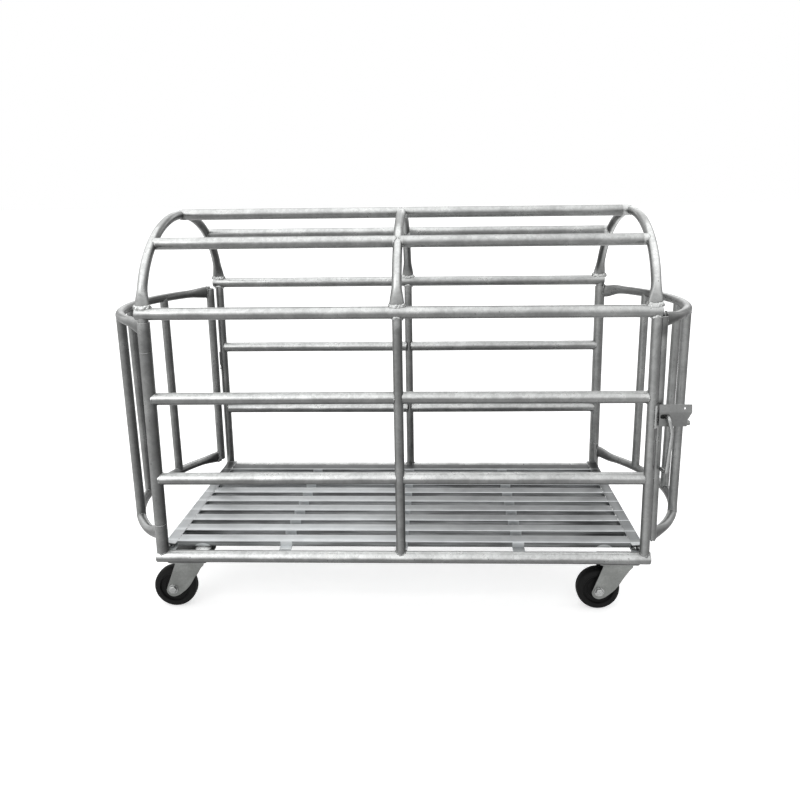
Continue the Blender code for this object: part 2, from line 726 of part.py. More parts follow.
def fork_mesh():
    """Pressed fork: a crown plate with two legs that taper back to the axle."""
    axle = Vector((-CASTER_TRAIL, 0, WHEEL_RADIUS))
    front = FORK_CROWN_LENGTH / 2
    rear = -front
    outline = [Vector((front, 0, CROWN_TOP)), Vector((front, 0, CROWN_BASE - 0.012))]
    outline.append(Vector((front * 0.62, 0, (CROWN_BASE + axle.z) / 2 + 0.008)))
    for number in range(7):
        angle = math.radians(-42 - 22 * number)
        outline.append(axle + Vector((math.cos(angle), 0, math.sin(angle))) * FORK_END_RADIUS)
    outline.append(Vector((rear, 0, CROWN_BASE - 0.006)))
    outline.append(Vector((rear, 0, CROWN_TOP)))
    legs = [prism("leg", outline, Y_AXIS * side * FORK_HALF_INNER, Y_AXIS * side * FORK_HALF_OUTER)
            for side in (-1, 1)]
    crown = block("crown", (rear + WELD_BITE, -FORK_HALF_INNER - WELD_BITE, CROWN_BASE),
                  (front - WELD_BITE, FORK_HALF_INNER + WELD_BITE, CROWN_TOP - WELD_BITE / 2))
    pin_hole = straight("hole", Z_AXIS * (CROWN_BASE - 0.02), Z_AXIS * (CROWN_TOP + 0.02),
                        KINGPIN_RADIUS + PIN_CLEARANCE, sides=TURNED_SIDES)
    axle_hole = straight("hole", axle - Y_AXIS * FORK_HALF_OUTER * 2,
                         axle + Y_AXIS * FORK_HALF_OUTER * 2, AXLE_RADIUS + JOINT_GAP)
    return cut(weld(crown, *legs), pin_hole, axle_hole)


def wheel_mesh():
    """Solid rubber wheel round its axle, with rounded shoulders and a raised hub."""
    half = WHEEL_WIDTH / 2
    hub_half = FORK_HALF_INNER - HUB_SIDE_GAP
    side = [
        (WHEEL_RADIUS, half * 0.35), (WHEEL_RADIUS - 0.0015, half * 0.72),
        (WHEEL_RADIUS - 0.008, half), (WHEEL_RADIUS - 0.019, half),
        (WHEEL_RADIUS - 0.022, half * 0.62), (0.020, half * 0.62),
        (0.016, hub_half), (HUB_BORE, hub_half),
    ]
    profile = side + [(radius, -along) for radius, along in reversed(side)]
    return turned("wheel", profile, Y_AXIS)


def axle_mesh():
    """Axle bolt with its hexagon head on one side and its nut on the other."""
    reach = FORK_HALF_OUTER + JOINT_GAP
    shaft_end = reach + HEX_HEIGHT + AXLE_RADIUS / 2
    shaft = straight("axle", Y_AXIS * -(reach + HEX_HEIGHT / 2), Y_AXIS * shaft_end,
                     AXLE_RADIUS - WELD_BITE / 4)
    head = straight("head", Y_AXIS * -reach, Y_AXIS * -(reach + HEX_HEIGHT), HEX_RADIUS, sides=6)
    nut = straight("nut", Y_AXIS * reach, Y_AXIS * (reach + HEX_HEIGHT), HEX_RADIUS, sides=6)
    return weld(shaft, head, nut)


def build_frame(steel, deck):
    """Rails, posts, arches and the floor grate."""
    long_rail = long_rail_mesh()
    for side, y, turn in (("front", -HALF_WIDTH, 0.0), ("rear", HALF_WIDTH, math.pi)):
        add_object(f"bottom_rail_{side}", long_rail, steel, (0, y, BOTTOM_Z), turn)
        add_object(f"upper_rail_{side}", long_rail, steel, (0, y, UPPER_Z), turn)
    latch_rail = side_rail_mesh(TUBE_RADIUS)
    hinge_rail = side_rail_mesh(RAIL_RADIUS)
    hinge_rail.transform(Matrix.Scale(-1, 4, X_AXIS))
    hinge_rail.flip_normals()
    for level, z in (("lower", LOWER_Z), ("middle", MIDDLE_Z)):
        add_object(f"{level}_rail_front_right", latch_rail, steel, (0, -HALF_WIDTH, z))
        add_object(f"{level}_rail_front_left", hinge_rail, steel, (0, -HALF_WIDTH, z))
        add_object(f"{level}_rail_rear_left", latch_rail, steel, (0, HALF_WIDTH, z), math.pi)
        add_object(f"{level}_rail_rear_right", hinge_rail, steel, (0, HALF_WIDTH, z), math.pi)
    hinge_post = hinge_post_mesh()
    add_object("post_front_left", hinge_post, steel, (-HALF_LENGTH, -HALF_WIDTH, 0))
    add_object("post_rear_right", hinge_post, steel, (HALF_LENGTH, HALF_WIDTH, 0), math.pi)
    latch_post = latch_post_mesh()
    add_object("post_front_right", latch_post, steel, (HALF_LENGTH, -HALF_WIDTH, 0))
    add_object("post_rear_left", latch_post, steel, (-HALF_LENGTH, HALF_WIDTH, 0), math.pi)
    post = post_mesh()
    add_object("post_front_middle", post, steel, (0, -HALF_WIDTH, 0))
    add_object("post_rear_middle", post, steel, (0, HALF_WIDTH, 0))
    arch = arch_mesh()
    for name, x in (("left", -HALF_LENGTH), ("middle", 0.0), ("right", HALF_LENGTH)):
        add_object(f"roof_arch_{name}", arch, steel, (x, 0, 0))
    ridge = roof_rail_mesh(0.0)
    near = roof_rail_mesh(-SHOULDER_OFFSET)
    far = roof_rail_mesh(SHOULDER_OFFSET)
    add_object("ridge_rail_right", ridge, steel)
    add_object("ridge_rail_left", ridge, steel, turn=math.pi)
    add_object("shoulder_rail_front_right", near, steel)
    add_object("shoulder_rail_rear_left", near, steel, turn=math.pi)
    add_object("shoulder_rail_rear_right", far, steel)
    add_object("shoulder_rail_front_left", far, steel, turn=math.pi)
    add_object("floor_grate", floor_grate_mesh(), deck)


def build_doors(steel, latch_steel):
    """Both doors from one set of meshes, and the latch, which only the right door has."""
    pieces = {
        "top_hoop": hoop_mesh(TOP_HOOP, TOP_SLEEVE_BASE),
        "bottom_hoop": hoop_mesh(BOTTOM_HOOP, LOW_SLEEVE_BASE),
        "end_tube": end_tube_mesh(),
    }
    for number, offset in enumerate((-1, 0, 1), start=1):
        pieces[f"bar_{number}"] = door_bar_mesh(0.5 + offset * BAR_SPREAD / 2)
    hinges = {}
    for side, sign, turn in (("right", 1, 0.0), ("left", -1, math.pi)):
        corner = (sign * HALF_LENGTH, sign * HALF_WIDTH, 0)
        hinges[side] = add_pivot(f"{side}_door_hinge_axis", corner, turn)
        for name, mesh in pieces.items():
            add_object(f"{side}_door_{name}", mesh, steel, parent=hinges[side])
    bolt = latch_bolt_mesh()
    bolt.transform(Matrix.Translation((0, -BOLT_Y, -LATCH_Z)))
    add_object("right_latch_plate", latch_plate_mesh(), latch_steel, parent=hinges["right"])
    slide = add_pivot("right_latch_slide_axis", (0, BOLT_Y, LATCH_Z), parent=hinges["right"])
    add_object("right_latch_bolt", bolt, latch_steel, parent=slide)


def build_casters(zinc, rubber):
    """Four swivel casters from one set of meshes."""
    plate = caster_plate_mesh()
    fork = fork_mesh()
    wheel = wheel_mesh()
    axle = axle_mesh()
    for end, side_x in (("left", -1), ("right", 1)):
        for side, side_y in (("front", -1), ("rear", 1)):
            name = f"caster_{side}_{end}"
            place = (side_x * (HALF_LENGTH - CASTER_INSET_X), side_y * (HALF_WIDTH - CASTER_INSET_Y), 0)
            add_object(f"{name}_plate", plate, zinc, place)
            swivel = add_pivot(f"{name}_swivel_axis", place)
            add_object(f"{name}_fork", fork, zinc, parent=swivel)
            hub = add_pivot(f"{name}_wheel_axis", (-CASTER_TRAIL, 0, WHEEL_RADIUS), parent=swivel)
            add_object(f"{name}_wheel", wheel, rubber, parent=hub)
            add_object(f"{name}_axle", axle, zinc, parent=hub)


def main():
    clear_scene()
    steel = finish("galvanised_tube", (0.60, 0.61, 0.60), 0.38, 0.9)
    deck = finish("galvanised_deck", (0.66, 0.69, 0.69), 0.34, 0.9)
    latch_steel = finish("galvanised_latch", (0.56, 0.57, 0.56), 0.45, 0.85)
    zinc = finish("zinc_plated_caster", (0.48, 0.49, 0.48), 0.42, 0.85)
    rubber = finish("black_rubber", (0.02, 0.02, 0.022), 0.55, 0.0)
    build_frame(steel, deck)
    build_doors(steel, latch_steel)
    build_casters(zinc, rubber)


main()
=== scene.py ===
# %% [markdown]
# # A pig catching cage on four casters
#
# The real cage is welded from round steel pipe and dipped whole in molten zinc. Two doors,
# each bulged like a barrel stave, hang from opposite corners, and a pig walks in at one end
# and out at the other. This lesson dresses the cage's plain solids: it gives every pipe a
# round skin, lays a weld bead at every joint, and makes the zinc look like zinc.

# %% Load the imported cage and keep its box
import math

import bmesh
import bpy
from mathutils import Matrix, Vector


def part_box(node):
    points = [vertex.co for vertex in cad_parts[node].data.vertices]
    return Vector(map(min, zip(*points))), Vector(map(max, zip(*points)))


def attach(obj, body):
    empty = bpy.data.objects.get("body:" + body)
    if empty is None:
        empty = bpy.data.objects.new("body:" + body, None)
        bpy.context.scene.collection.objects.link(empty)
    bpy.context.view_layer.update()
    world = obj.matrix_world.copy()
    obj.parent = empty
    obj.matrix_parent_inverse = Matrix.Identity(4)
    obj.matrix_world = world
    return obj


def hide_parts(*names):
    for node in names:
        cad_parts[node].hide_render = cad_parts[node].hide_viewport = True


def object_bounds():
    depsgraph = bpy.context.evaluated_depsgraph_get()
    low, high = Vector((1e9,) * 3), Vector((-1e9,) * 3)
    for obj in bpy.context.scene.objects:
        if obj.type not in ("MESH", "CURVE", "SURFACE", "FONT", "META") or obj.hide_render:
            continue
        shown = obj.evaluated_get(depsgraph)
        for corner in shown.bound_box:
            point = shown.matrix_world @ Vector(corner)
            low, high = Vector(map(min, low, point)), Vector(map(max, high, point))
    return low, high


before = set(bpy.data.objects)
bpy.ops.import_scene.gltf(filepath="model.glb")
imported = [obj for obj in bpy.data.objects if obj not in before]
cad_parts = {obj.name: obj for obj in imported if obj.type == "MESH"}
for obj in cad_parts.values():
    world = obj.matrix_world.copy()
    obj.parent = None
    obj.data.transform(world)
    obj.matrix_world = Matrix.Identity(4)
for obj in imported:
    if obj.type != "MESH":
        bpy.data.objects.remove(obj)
cad_low, cad_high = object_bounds()

# %% [markdown]
# ## Sizes
#
# A fabricator works from a cutting list: pipe sizes, spacings and heights, each written once.
# The heights could be typed in as well, but they are read from the solids' own boxes, so the
# skin can't drift away from the solid that it stands for.

# %% Pipe sizes and places
RAIL_RADIUS = 0.017
RAIL_WALL = 0.0023
TUBE_RADIUS = 0.0135
TUBE_WALL = 0.0021
JOINT_GAP = 0.0003
SLEEVE_BORE = 0.0142
SLEEVE_LENGTH = 0.083
SHOULDER_OFFSET = 0.231
FLAT_HALF_WIDTH = 0.0205
FLAT_HALF_THICKNESS = 0.0065
FLAT_TAPER = 0.060

X_AXIS = Vector((1.0, 0.0, 0.0))
Y_AXIS = Vector((0.0, 1.0, 0.0))
Z_AXIS = Vector((0.0, 0.0, 1.0))


def middle_of(node):
    """The centre of a solid's box."""
    low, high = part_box(node)
    return (Vector(low) + Vector(high)) / 2


BOTTOM_Z = middle_of("bottom_rail_front").z
LOWER_Z = middle_of("lower_rail_front_left").z
MIDDLE_Z = middle_of("middle_rail_front_left").z
UPPER_Z = middle_of("upper_rail_front").z
HALF_WIDTH = -middle_of("bottom_rail_front").y
HALF_LENGTH = middle_of("roof_arch_right").x
ROOF_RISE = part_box("roof_arch_middle")[1][2] - TUBE_RADIUS - UPPER_Z
RAIL_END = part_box("bottom_rail_front")[1][0]
print("half length and width:", round(HALF_LENGTH, 4), round(HALF_WIDTH, 4))
print("rail heights:", [round(z, 4) for z in (BOTTOM_Z, LOWER_Z, MIDDLE_Z, UPPER_Z)])

# %% [markdown]
# ## A short way to wire nodes
#
# Materials and Geometry Nodes are both graphs. Wiring them by hand takes four lines a node,
# so one helper class adds a node, sets its options, and links or fills its inputs. Its short
# methods do sums between sockets, so a recipe for a colour reads like a formula.


# %% Node helper
class Graph:
    """A node tree, with short ways to add nodes and to reckon with their sockets."""

    def __init__(self, tree):
        self.tree = tree

    def add(self, kind, wires=None, **settings):
        """Add a node and return its outputs. A wire is a socket to link from, or a plain value."""
        node = self.tree.nodes.new(kind)
        for option, value in settings.items():
            setattr(node, option, value)
        for socket, value in (wires or {}).items():
            if isinstance(value, bpy.types.NodeSocket):
                self.tree.links.new(value, node.inputs[socket])
            else:
                node.inputs[socket].default_value = value
        return node.outputs

    def maths(self, operation, first, second=0.0):
        return self.add("ShaderNodeMath", {0: first, 1: second}, operation=operation)[0]

    def minus(self, first, second):
        return self.maths("SUBTRACT", first, second)

    def most(self, first, second):
        """The larger of two values."""
        return self.maths("MAXIMUM", first, second)

    def size(self, value):
        """A value without its sign."""
        return self.maths("ABSOLUTE", value)

    def times(self, first, *others):
        """The product of several values."""
        for other in others:
            first = self.maths("MULTIPLY", first, other)
        return first

    def ramp(self, value, low, high, out_low=0.0, out_high=1.0):
        """Smoothly map a value from one range to another."""
        return self.add("ShaderNodeMapRange", {
            "Value": value, "From Min": low, "From Max": high, "To Min": out_low, "To Max": out_high,
        }, interpolation_type="SMOOTHSTEP")["Result"]

    def shades(self, *rows):
        """The product of ramps. A row is (value, low, high, factor at low, factor at high)."""
        return self.times(*[self.ramp(*row) for row in rows])

    def blend(self, factor, first, second):
        """The first value at factor 0, the second at 1."""
        return self.add("ShaderNodeMix", {0: factor, 2: first, 3: second}, data_type="FLOAT")[0]

    def vector(self, operation, wires):
        return self.add("ShaderNodeVectorMath", wires, operation=operation)

    def split(self, vector):
        return self.add("ShaderNodeSeparateXYZ", {"Vector": vector})

    def noise(self, vector, scale, detail):
        return self.add("ShaderNodeTexNoise", {"Vector": vector, "Scale": scale, "Detail": detail})[0]


# %% [markdown]
# ## Hot-dip zinc
#
# Molten zinc freezes on the steel in crystals a few millimetres across, some bright and some
# dull, over a skin that is slightly wavy. The light and shade are painted into the colour: faces
# that look up get a pale painted lit tone, and the faces below and to the side a darker painted
# shaded tone. A bare metal shader gives a chrome pipe. Here cells give the crystals, slow noise
# gives the clouds, small dark pits break it up, and the way a face looks, up or not, picks the
# painted lit or the painted shaded zinc. The soft shine that slides along a bent pipe is a painted
# highlight, painted by direction too, so it stays in place.

# %% Zinc material
NOISE_SPAN = (0.3, 0.7)
ROOF_START = (0.84, 0.86)
ARCH_START = (0.90, 0.93)


def start_material(name):
    """A new material and its graph, with the place as one socket, and place and facing by axis."""
    material = bpy.data.materials.new(name)
    material.use_nodes = True
    graph = Graph(material.node_tree)
    place = graph.add("ShaderNodeTexCoord")["Object"]
    facing = graph.add("ShaderNodeNewGeometry")["Normal"]
    return material, graph, place, graph.split(place), graph.split(facing)


def finish_material(material, graph, colour, rough, height, strength, distance, others):
    """Link colour, roughness and bump to the shader, and set its other inputs."""
    inputs = material.node_tree.nodes["Principled BSDF"].inputs
    bump = graph.add("ShaderNodeBump", {"Height": height, "Strength": strength, "Distance": distance})
    for label, socket in (("Base Color", colour), ("Roughness", rough), ("Normal", bump[0])):
        graph.tree.links.new(socket, inputs[label])
    for label, value in others.items():
        inputs[label].default_value = value
    return material


def painted_light_tone(graph, where, facing, clouds, pale, dark):
    """The zinc's grey before its grain, all painted light and shade: lit pale on top, shaded darker below and
    beside.
    """
    x, y, z = where["X"], where["Y"], where["Z"]
    nx, ny, nz = facing["X"], facing["Y"], facing["Z"]
    ramp, times, minus, shades = graph.ramp, graph.times, graph.minus, graph.shades

    # Painted light: faces that look up take the pale lit tone. The clouds make its border wander,
    # and painted shade keeps the rear floor rail dark.
    wander = minus(times(minus(clouds, 0.5), 0.16),
                   shades((y, 0.25, 0.31, 0.0, 0.62), (z, 0.22, 0.28, 1.0, 0.0)))
    upward = ramp(graph.maths("ADD", nz, wander),
                  ramp(z, *ROOF_START, -0.02, -0.20), ramp(z, *ROOF_START, 0.44, 0.60))

    # Painted light and shade on a side: lit brightest to the left and toward the right end, with
    # painted shade at its edges, underneath low down and at one end of a hoop, and painted light
    # under the roof rails.
    hoop_end_shade = shades((x, 0.695, 0.715, 0.0, 1.0), (y, -0.28, -0.17, 1.0, 0.0), (z, 0.80, 0.83, 0.0, 0.55))
    side = shades((nx, -0.75, 0.75, 1.55, 0.64), (x, 0.35, 0.68, 1.0, 1.28),
                  (graph.size(nx), 0.42, 0.96, 1.12, 0.66),
                  (nz, -1.0, -0.25, ramp(z, 0.70, 1.05, 0.70, 1.45), 1.0))
    side = times(side, minus(1.0, hoop_end_shade))

    # A painted highlight stripe runs down each arch, further to the left on the left arch.
    off_middle = graph.size(x)
    on_arch = graph.most(ramp(off_middle, 0.0130, 0.0160, 1.0, 0.0), ramp(off_middle, 0.670, 0.676))
    on_arch = times(on_arch, ramp(z, *ARCH_START))
    off_stripe = graph.size(minus(nx, ramp(x, -HALF_LENGTH, HALF_LENGTH, -0.52, 0.14)))
    stripe_highlight = shades((x, -HALF_LENGTH, HALF_LENGTH, 2.5, 3.6), (z, 0.91, 1.04, 0.50, 1.0))
    side = graph.blend(on_arch, side, ramp(off_stripe, 0.10, 0.66, stripe_highlight, 0.50))

    # Painted light on a top: palest to the left, painted shade on its flanks, a painted dark
    # reflection line along it, and a painted highlight lift on each arch.
    off_line = graph.size(minus(minus(ny, ramp(z, 0.2, 0.9, -0.10, -0.46)), 0.17))
    line = graph.most(ramp(off_line, 0.07, 0.20, 0.52, 1.0), ramp(z, 0.91, 0.93, 0.0, 0.64))
    arch_highlight = graph.maths("ADD", times(on_arch, ramp(x, -0.1, HALF_LENGTH, 0.05, 0.42)), 1.0)
    sky = shades((x, -0.15, 0.45, 1.0, 0.76), (nx, 0.28, 0.80, 1.0, 0.30), (nx, -0.90, -0.25, 0.40, 1.0))
    return graph.blend(upward, times(side, dark), times(sky, line, arch_highlight, pale))


def zinc(name, pale, dark, roughness=0.36, crystal=120.0, speck=0.42, metal=0.85,
         tint=(0.985, 1.0, 0.99)):
    """Galvanised steel with crystals, clouds, a fine grain and small dark pits, over painted light and shade.
    """
    material, graph, place, where, facing = start_material(name)
    cells = graph.add("ShaderNodeTexVoronoi", {"Vector": place, "Scale": crystal})
    cell = graph.add("ShaderNodeSeparateColor", {"Color": cells["Color"]})[0]
    clouds = graph.noise(place, 16.0, 4.0)
    grain = graph.noise(place, 420.0, 2.0)
    pits = graph.add("ShaderNodeTexVoronoi", {"Vector": place, "Scale": 55.0})
    pit_size = graph.add("ShaderNodeSeparateColor", {"Color": pits["Color"]})[1]
    pit = graph.maths("LESS_THAN", pits["Distance"], graph.ramp(pit_size, 0.72, 1.0, 0.0, 0.12))
    pit = graph.times(pit, speck)

    tone = painted_light_tone(graph, where, facing, clouds, pale, dark)
    shade = graph.shades((cell, 0.0, 1.0, 0.90, 1.06), (clouds, *NOISE_SPAN, 0.88, 1.08),
                         (grain, *NOISE_SPAN, 0.95, 1.04))
    tone = graph.times(tone, shade, graph.minus(1.0, pit))
    colour = graph.vector("SCALE", {0: tint, "Scale": tone})[0]
    rough = graph.maths("ADD", graph.ramp(cell, 0.0, 1.0, -0.06, 0.08),
                        graph.ramp(clouds, *NOISE_SPAN, roughness + 0.07, roughness - 0.05))
    waves = graph.maths("ADD", graph.times(clouds, 3.0), graph.times(grain, 0.35))
    height = graph.minus(waves, pit)
    return finish_material(material, graph, colour, rough, height, 0.4, 0.0006, {"Metallic": metal})


# %% [markdown]
# ## The deck's smooth sheet
#
# The slats are rolled sheet, so they have none of the pipes' lumps. They are nearly mirrors:
# their tops show the sky, and their front faces show the dark ground in long soft streaks,
# broken by the pale straps that pass just in front of them. Real mirroring would need a yard
# to stand in, so the streaks and the pale patches are painted from the place on the deck.

# %% Deck and rubber materials
STRAP_PITCH = 0.3378
CAP_X = 0.585
SLAT_PITCH = 0.0668
SLAT_FRONT = -HALF_WIDTH + RAIL_RADIUS + 0.0145


def deck_zinc(name, pale, dark):
    """Rolled zinc sheet with painted reflections: long streaks, and pale patches where a strap is mirrored.
    """
    material, graph, place, where, facing = start_material(name)
    x, y, z = where["X"], where["Y"], where["Z"]
    ramp, times, minus, maths = graph.ramp, graph.times, graph.minus, graph.maths
    streaks = graph.add("ShaderNodeMapping", {"Vector": place, "Scale": (3.2, 9.0, 60.0)})[0]
    runs = graph.noise(streaks, 1.5, 3.0)
    scratches = graph.add("ShaderNodeMapping", {"Vector": place, "Scale": (9.0, 300.0, 300.0)})[0]
    fine = graph.noise(scratches, 1.5, 2.0)
    stains = graph.noise(place, 24.0, 4.0)

    # Painted reflections: the front faces mirror the straps, and the first one mirrors the round stud caps
    # too.
    from_strap = maths("PINGPONG", graph.size(x), STRAP_PITCH / 2)
    from_cap = graph.add("ShaderNodeCombineXYZ", {
        "X": maths("DIVIDE", minus(graph.size(x), CAP_X), 0.0245),
        "Z": maths("DIVIDE", minus(z, 0.187), 0.0135)})[0]
    from_cap = graph.vector("LENGTH", {0: from_cap})["Value"]
    cap = times(ramp(from_cap, 0.92, 1.05, 1.0, 0.0), maths("LESS_THAN", y, -0.29))
    reflection_patch = graph.most(ramp(from_strap, 0.0155, 0.0185, 1.0, 0.0), cap)
    face = graph.blend(reflection_patch, ramp(runs, 0.34, 0.68, dark * 0.65, dark * 1.6), pale * 1.15)

    # Painted light and shade: the tops darken to the right and the rear and are paler at each slat's
    # front, and each slat's front fold is a painted highlight line.
    across = maths("MODULO", minus(y, SLAT_FRONT), SLAT_PITCH)
    top = graph.shades((x, -0.2, 0.28, 1.0, 0.40), (y, 0.05, 0.25, 1.0, 0.22), (z, 0.195, 0.200, 0.85, 1.0),
                       (y, -0.28, -0.12, 1.28, 1.0), (runs, *NOISE_SPAN, pale * 0.96, pale * 1.05),
                       (across, 0.0, 0.026, 1.30, 0.95))
    fold_highlight = graph.most(ramp(facing["Z"], 0.80, 0.97, 1.0, 0.0), ramp(across, 0.0020, 0.0048, 0.85, 0.0))
    top = graph.blend(times(fold_highlight, ramp(z, 0.196, 0.200)), top, pale * 1.35)

    tone = graph.blend(ramp(facing["Z"], 0.15, 0.45), face, top)
    tone = times(tone, ramp(fine, *NOISE_SPAN, 0.96, 1.03), ramp(stains, 0.3, 0.72, 1.01, 0.93))
    colour = graph.vector("SCALE", {0: (0.955, 0.985, 1.0), "Scale": tone})[0]
    rough = ramp(stains, *NOISE_SPAN, 0.34, 0.42)
    return finish_material(material, graph, colour, rough, fine, 0.06, 0.0003, {"Metallic": 0.75})


def rubber(name, tone):
    """Moulded black rubber, slightly dusty and finely grained."""
    material, graph, place, _, _ = start_material(name)
    dust = graph.noise(place, 38.0, 5.0)
    colour = graph.blend(graph.ramp(dust, 0.45, 0.75, 0.0, 0.5), tone, tone * 2.6)
    rough = graph.ramp(dust, *NOISE_SPAN, 0.50, 0.68)
    grain = graph.noise(place, 900.0, 2.0)
    return finish_material(material, graph, colour, rough, grain, 0.3, 0.0003, {"Specular IOR Level": 0.17})


# %% Finishes with their painted lit (pale) and painted shaded (dark) tones
TUBE_ZINC = zinc("tube_zinc", 0.88, 0.165)
HOOP_ZINC = zinc("hoop_zinc", 0.62, 0.115)
DECK_ZINC = deck_zinc("deck_zinc", 0.60, 0.235)
LATCH_ZINC = zinc("latch_zinc", 0.46, 0.145, roughness=0.45, crystal=150.0, speck=0.2)
ROD_ZINC = zinc("rod_zinc", 0.86, 0.22, roughness=0.22, crystal=200.0, speck=0.2)
WELD_ZINC = zinc("weld_zinc", 0.97, 0.40, roughness=0.28, crystal=260.0)
# A darker copy of the weld zinc: painted shade for beads that lie out of the light.
SHADED_WELD = zinc("shaded_weld", 0.52, 0.17, roughness=0.45, crystal=260.0)
CASTER_LOOK = {"roughness": 0.42, "crystal": 200.0, "speck": 0.12, "metal": 0.7}
CASTER_ZINC = zinc("caster_zinc", 0.36, 0.19, tint=(0.97, 1.0, 0.965), **CASTER_LOOK)
SHADED_PLATE = zinc("shaded_plate", 0.10, 0.17, **CASTER_LOOK)
# The caps' pale tone above 1 is a painted highlight.
CAP_ZINC = zinc("cap_zinc", 1.2, 0.6, roughness=0.3, crystal=300.0, speck=0.0, metal=0.3)
BOLT_ZINC = zinc("bolt_zinc", 0.95, 0.34, roughness=0.22, crystal=300.0, speck=0.1)
TYRE_RUBBER = rubber("tyre_rubber", 0.0050)
print("materials:", [material.name for material in bpy.data.materials])

# %% [markdown]
# ## Pipes from rings
#
# A pipe is a row of rings with a skin between them. Blender can bevel a curve into a pipe, but
# these pipes are crushed flat where they are welded on, and a bevel is round all the way. So
# each ring here has its own width and thickness, and the same few lines make a straight rail,
# a bent arch and a crushed end.


# %% Ring sweep
def in_scene(name, data):
    """A new object for a mesh, a curve, a lamp or a camera, linked to the scene."""
    item = bpy.data.objects.new(name, data)
    bpy.context.scene.collection.objects.link(item)
    return item


def plain_mesh(item):
    """The mesh that an object's modifiers or curve settings give. The object goes."""
    depsgraph = bpy.context.evaluated_depsgraph_get()
    depsgraph.update()
    mesh = bpy.data.meshes.new_from_object(item.evaluated_get(depsgraph))
    bpy.data.objects.remove(item, do_unlink=True)
    return mesh


def new_piece(name, mesh, material, crisp=38):
    """An object at the origin with a smooth skin, and edges crisp from an angle on."""
    if material.name not in mesh.materials:
        mesh.materials.append(material)
    mesh.shade_smooth()
    mesh.set_sharp_from_angle(angle=math.radians(crisp))
    return in_scene(name, mesh)


def from_bmesh(bm, name):
    """A mesh from an edited one, with doubles merged and its faces turned outward."""
    bmesh.ops.remove_doubles(bm, verts=bm.verts, dist=1e-6)
    bmesh.ops.recalc_face_normals(bm, faces=bm.faces)
    mesh = bpy.data.meshes.new(name)
    bm.to_mesh(mesh)
    bm.free()
    return mesh


def skin_rings(bm, rings, around=False, capped=False):
    """Join each ring of points to the next by a band of faces."""
    for one, other in zip(rings, rings[1:] + rings[:1] if around else rings[1:]):
        for number in range(len(one)):
            after = (number + 1) % len(one)
            bm.faces.new((one[number], one[after], other[after], other[number]))
    if capped:
        bm.faces.new(rings[0])
        bm.faces.new(rings[-1])


def sweep(name, stations, sides=32, wall=0.0, lip=0.0009):
    """Skin rings of (centre, axis a, axis b, half size a, half size b), with rounded end lips."""
    rows = [list(station) for station in stations]
    ends = []
    for place, neighbour in ((0, 1), (-1, -2)):
        ends.append([*rows[place][:3], rows[place][3] - lip, rows[place][4] - lip])
        inward = (stations[neighbour][0] - stations[place][0]).normalized()
        rows[place][0] = stations[place][0] + inward * lip
    bm = bmesh.new()

    def ring(row, inset):
        centre, axis_a, axis_b, half_a, half_b = row
        loop = []
        for number in range(sides):
            angle = 2 * math.pi * (number + 0.5) / sides
            offset = axis_a * (half_a - inset) * math.cos(angle) + axis_b * (half_b - inset) * math.sin(angle)
            loop.append(bm.verts.new(centre + offset))
        return loop

    rings = [ring(row, 0.0) for row in (ends[0], *rows, ends[1])]
    if wall:
        rings.append(ring(ends[1], wall - lip))
        rings += [ring(row, wall) for row in rows[-2:0:-1]]
        rings.append(ring(ends[0], wall - lip))
    skin_rings(bm, rings, around=bool(wall), capped=not wall)
    return from_bmesh(bm, name)


def line_stations(start, end, radius, count=2):
    """Rings of a straight round pipe."""
    along = (end - start).normalized()
    side = along.cross(Z_AXIS if abs(along.z) < 0.9 else X_AXIS).normalized()
    up = side.cross(along)
    return [(start.lerp(end, number / (count - 1)), side, up, radius, radius) for number in range(count)]


def headings(points):
    """The direction of a path at each of its points."""
    return [(after - before).normalized()
            for before, after in zip(points[:1] + points[:-1], points[1:] + points[-1:])]


def path_stations(points, normal, radius):
    """Rings of a round pipe bent in the plane square to normal."""
    return [(point, normal, along.cross(normal).normalized(), radius, radius)
            for point, along in zip(points, headings(points))]


def domed(rows, reach, steps=5):
    """Round off a pipe's closed ends over a short reach."""
    result = list(rows)
    for place, neighbour in ((0, 1), (-1, -2)):
        centre, side, up, half_a, half_b = rows[place]
        inward = (rows[neighbour][0] - centre).normalized()
        extra = []
        for number in range(steps):
            angle = math.radians(90 * number / steps)
            shrink = reach * (1 - math.sin(angle))
            depth = inward * reach * (1 - math.cos(angle))
            extra.append((centre + depth, side, up, half_a - shrink, half_b - shrink))
        result = extra + result[1:] if place == 0 else result[:-1] + extra[::-1]
    return result


def eased(part):
    """A fraction held between 0 and 1, with a soft start and a soft end."""
    part = min(max(part, 0.0), 1.0)
    return part * part * (3 - 2 * part)


def crushed(rows, seat, wide=FLAT_HALF_WIDTH, thin=FLAT_HALF_THICKNESS, taper=FLAT_TAPER):
    """Crush a pipe's ends flat, fully up to seat and less over the taper."""
    run = [0.0]
    for one, other in zip(rows, rows[1:]):
        run.append(run[-1] + (other[0] - one[0]).length)
    result = []
    for (centre, normal, side, half_a, half_b), place in zip(rows, run):
        blend = eased((min(place, run[-1] - place) - seat) / taper)
        result.append((centre, normal, side, wide + (half_a - wide) * blend, thin + (half_b - thin) * blend))
    return result


def arc(x, y, radius, start, end, steps):
    """Points on a circle from one angle to another, in degrees."""
    angles = [math.radians(start + (end - start) * number / steps) for number in range(steps + 1)]
    return [(x + radius * math.cos(angle), y + radius * math.sin(angle)) for angle in angles]


def boolean(mesh, other, operation):
    """Boolean one mesh with another, and return the result."""
    base, tool = in_scene("base", mesh), in_scene("tool", other)
    modifier = base.modifiers.new("cut", "BOOLEAN")
    modifier.operation = operation
    modifier.solver = "EXACT"
    modifier.object = tool
    result = plain_mesh(base)
    bpy.data.objects.remove(tool, do_unlink=True)
    return result


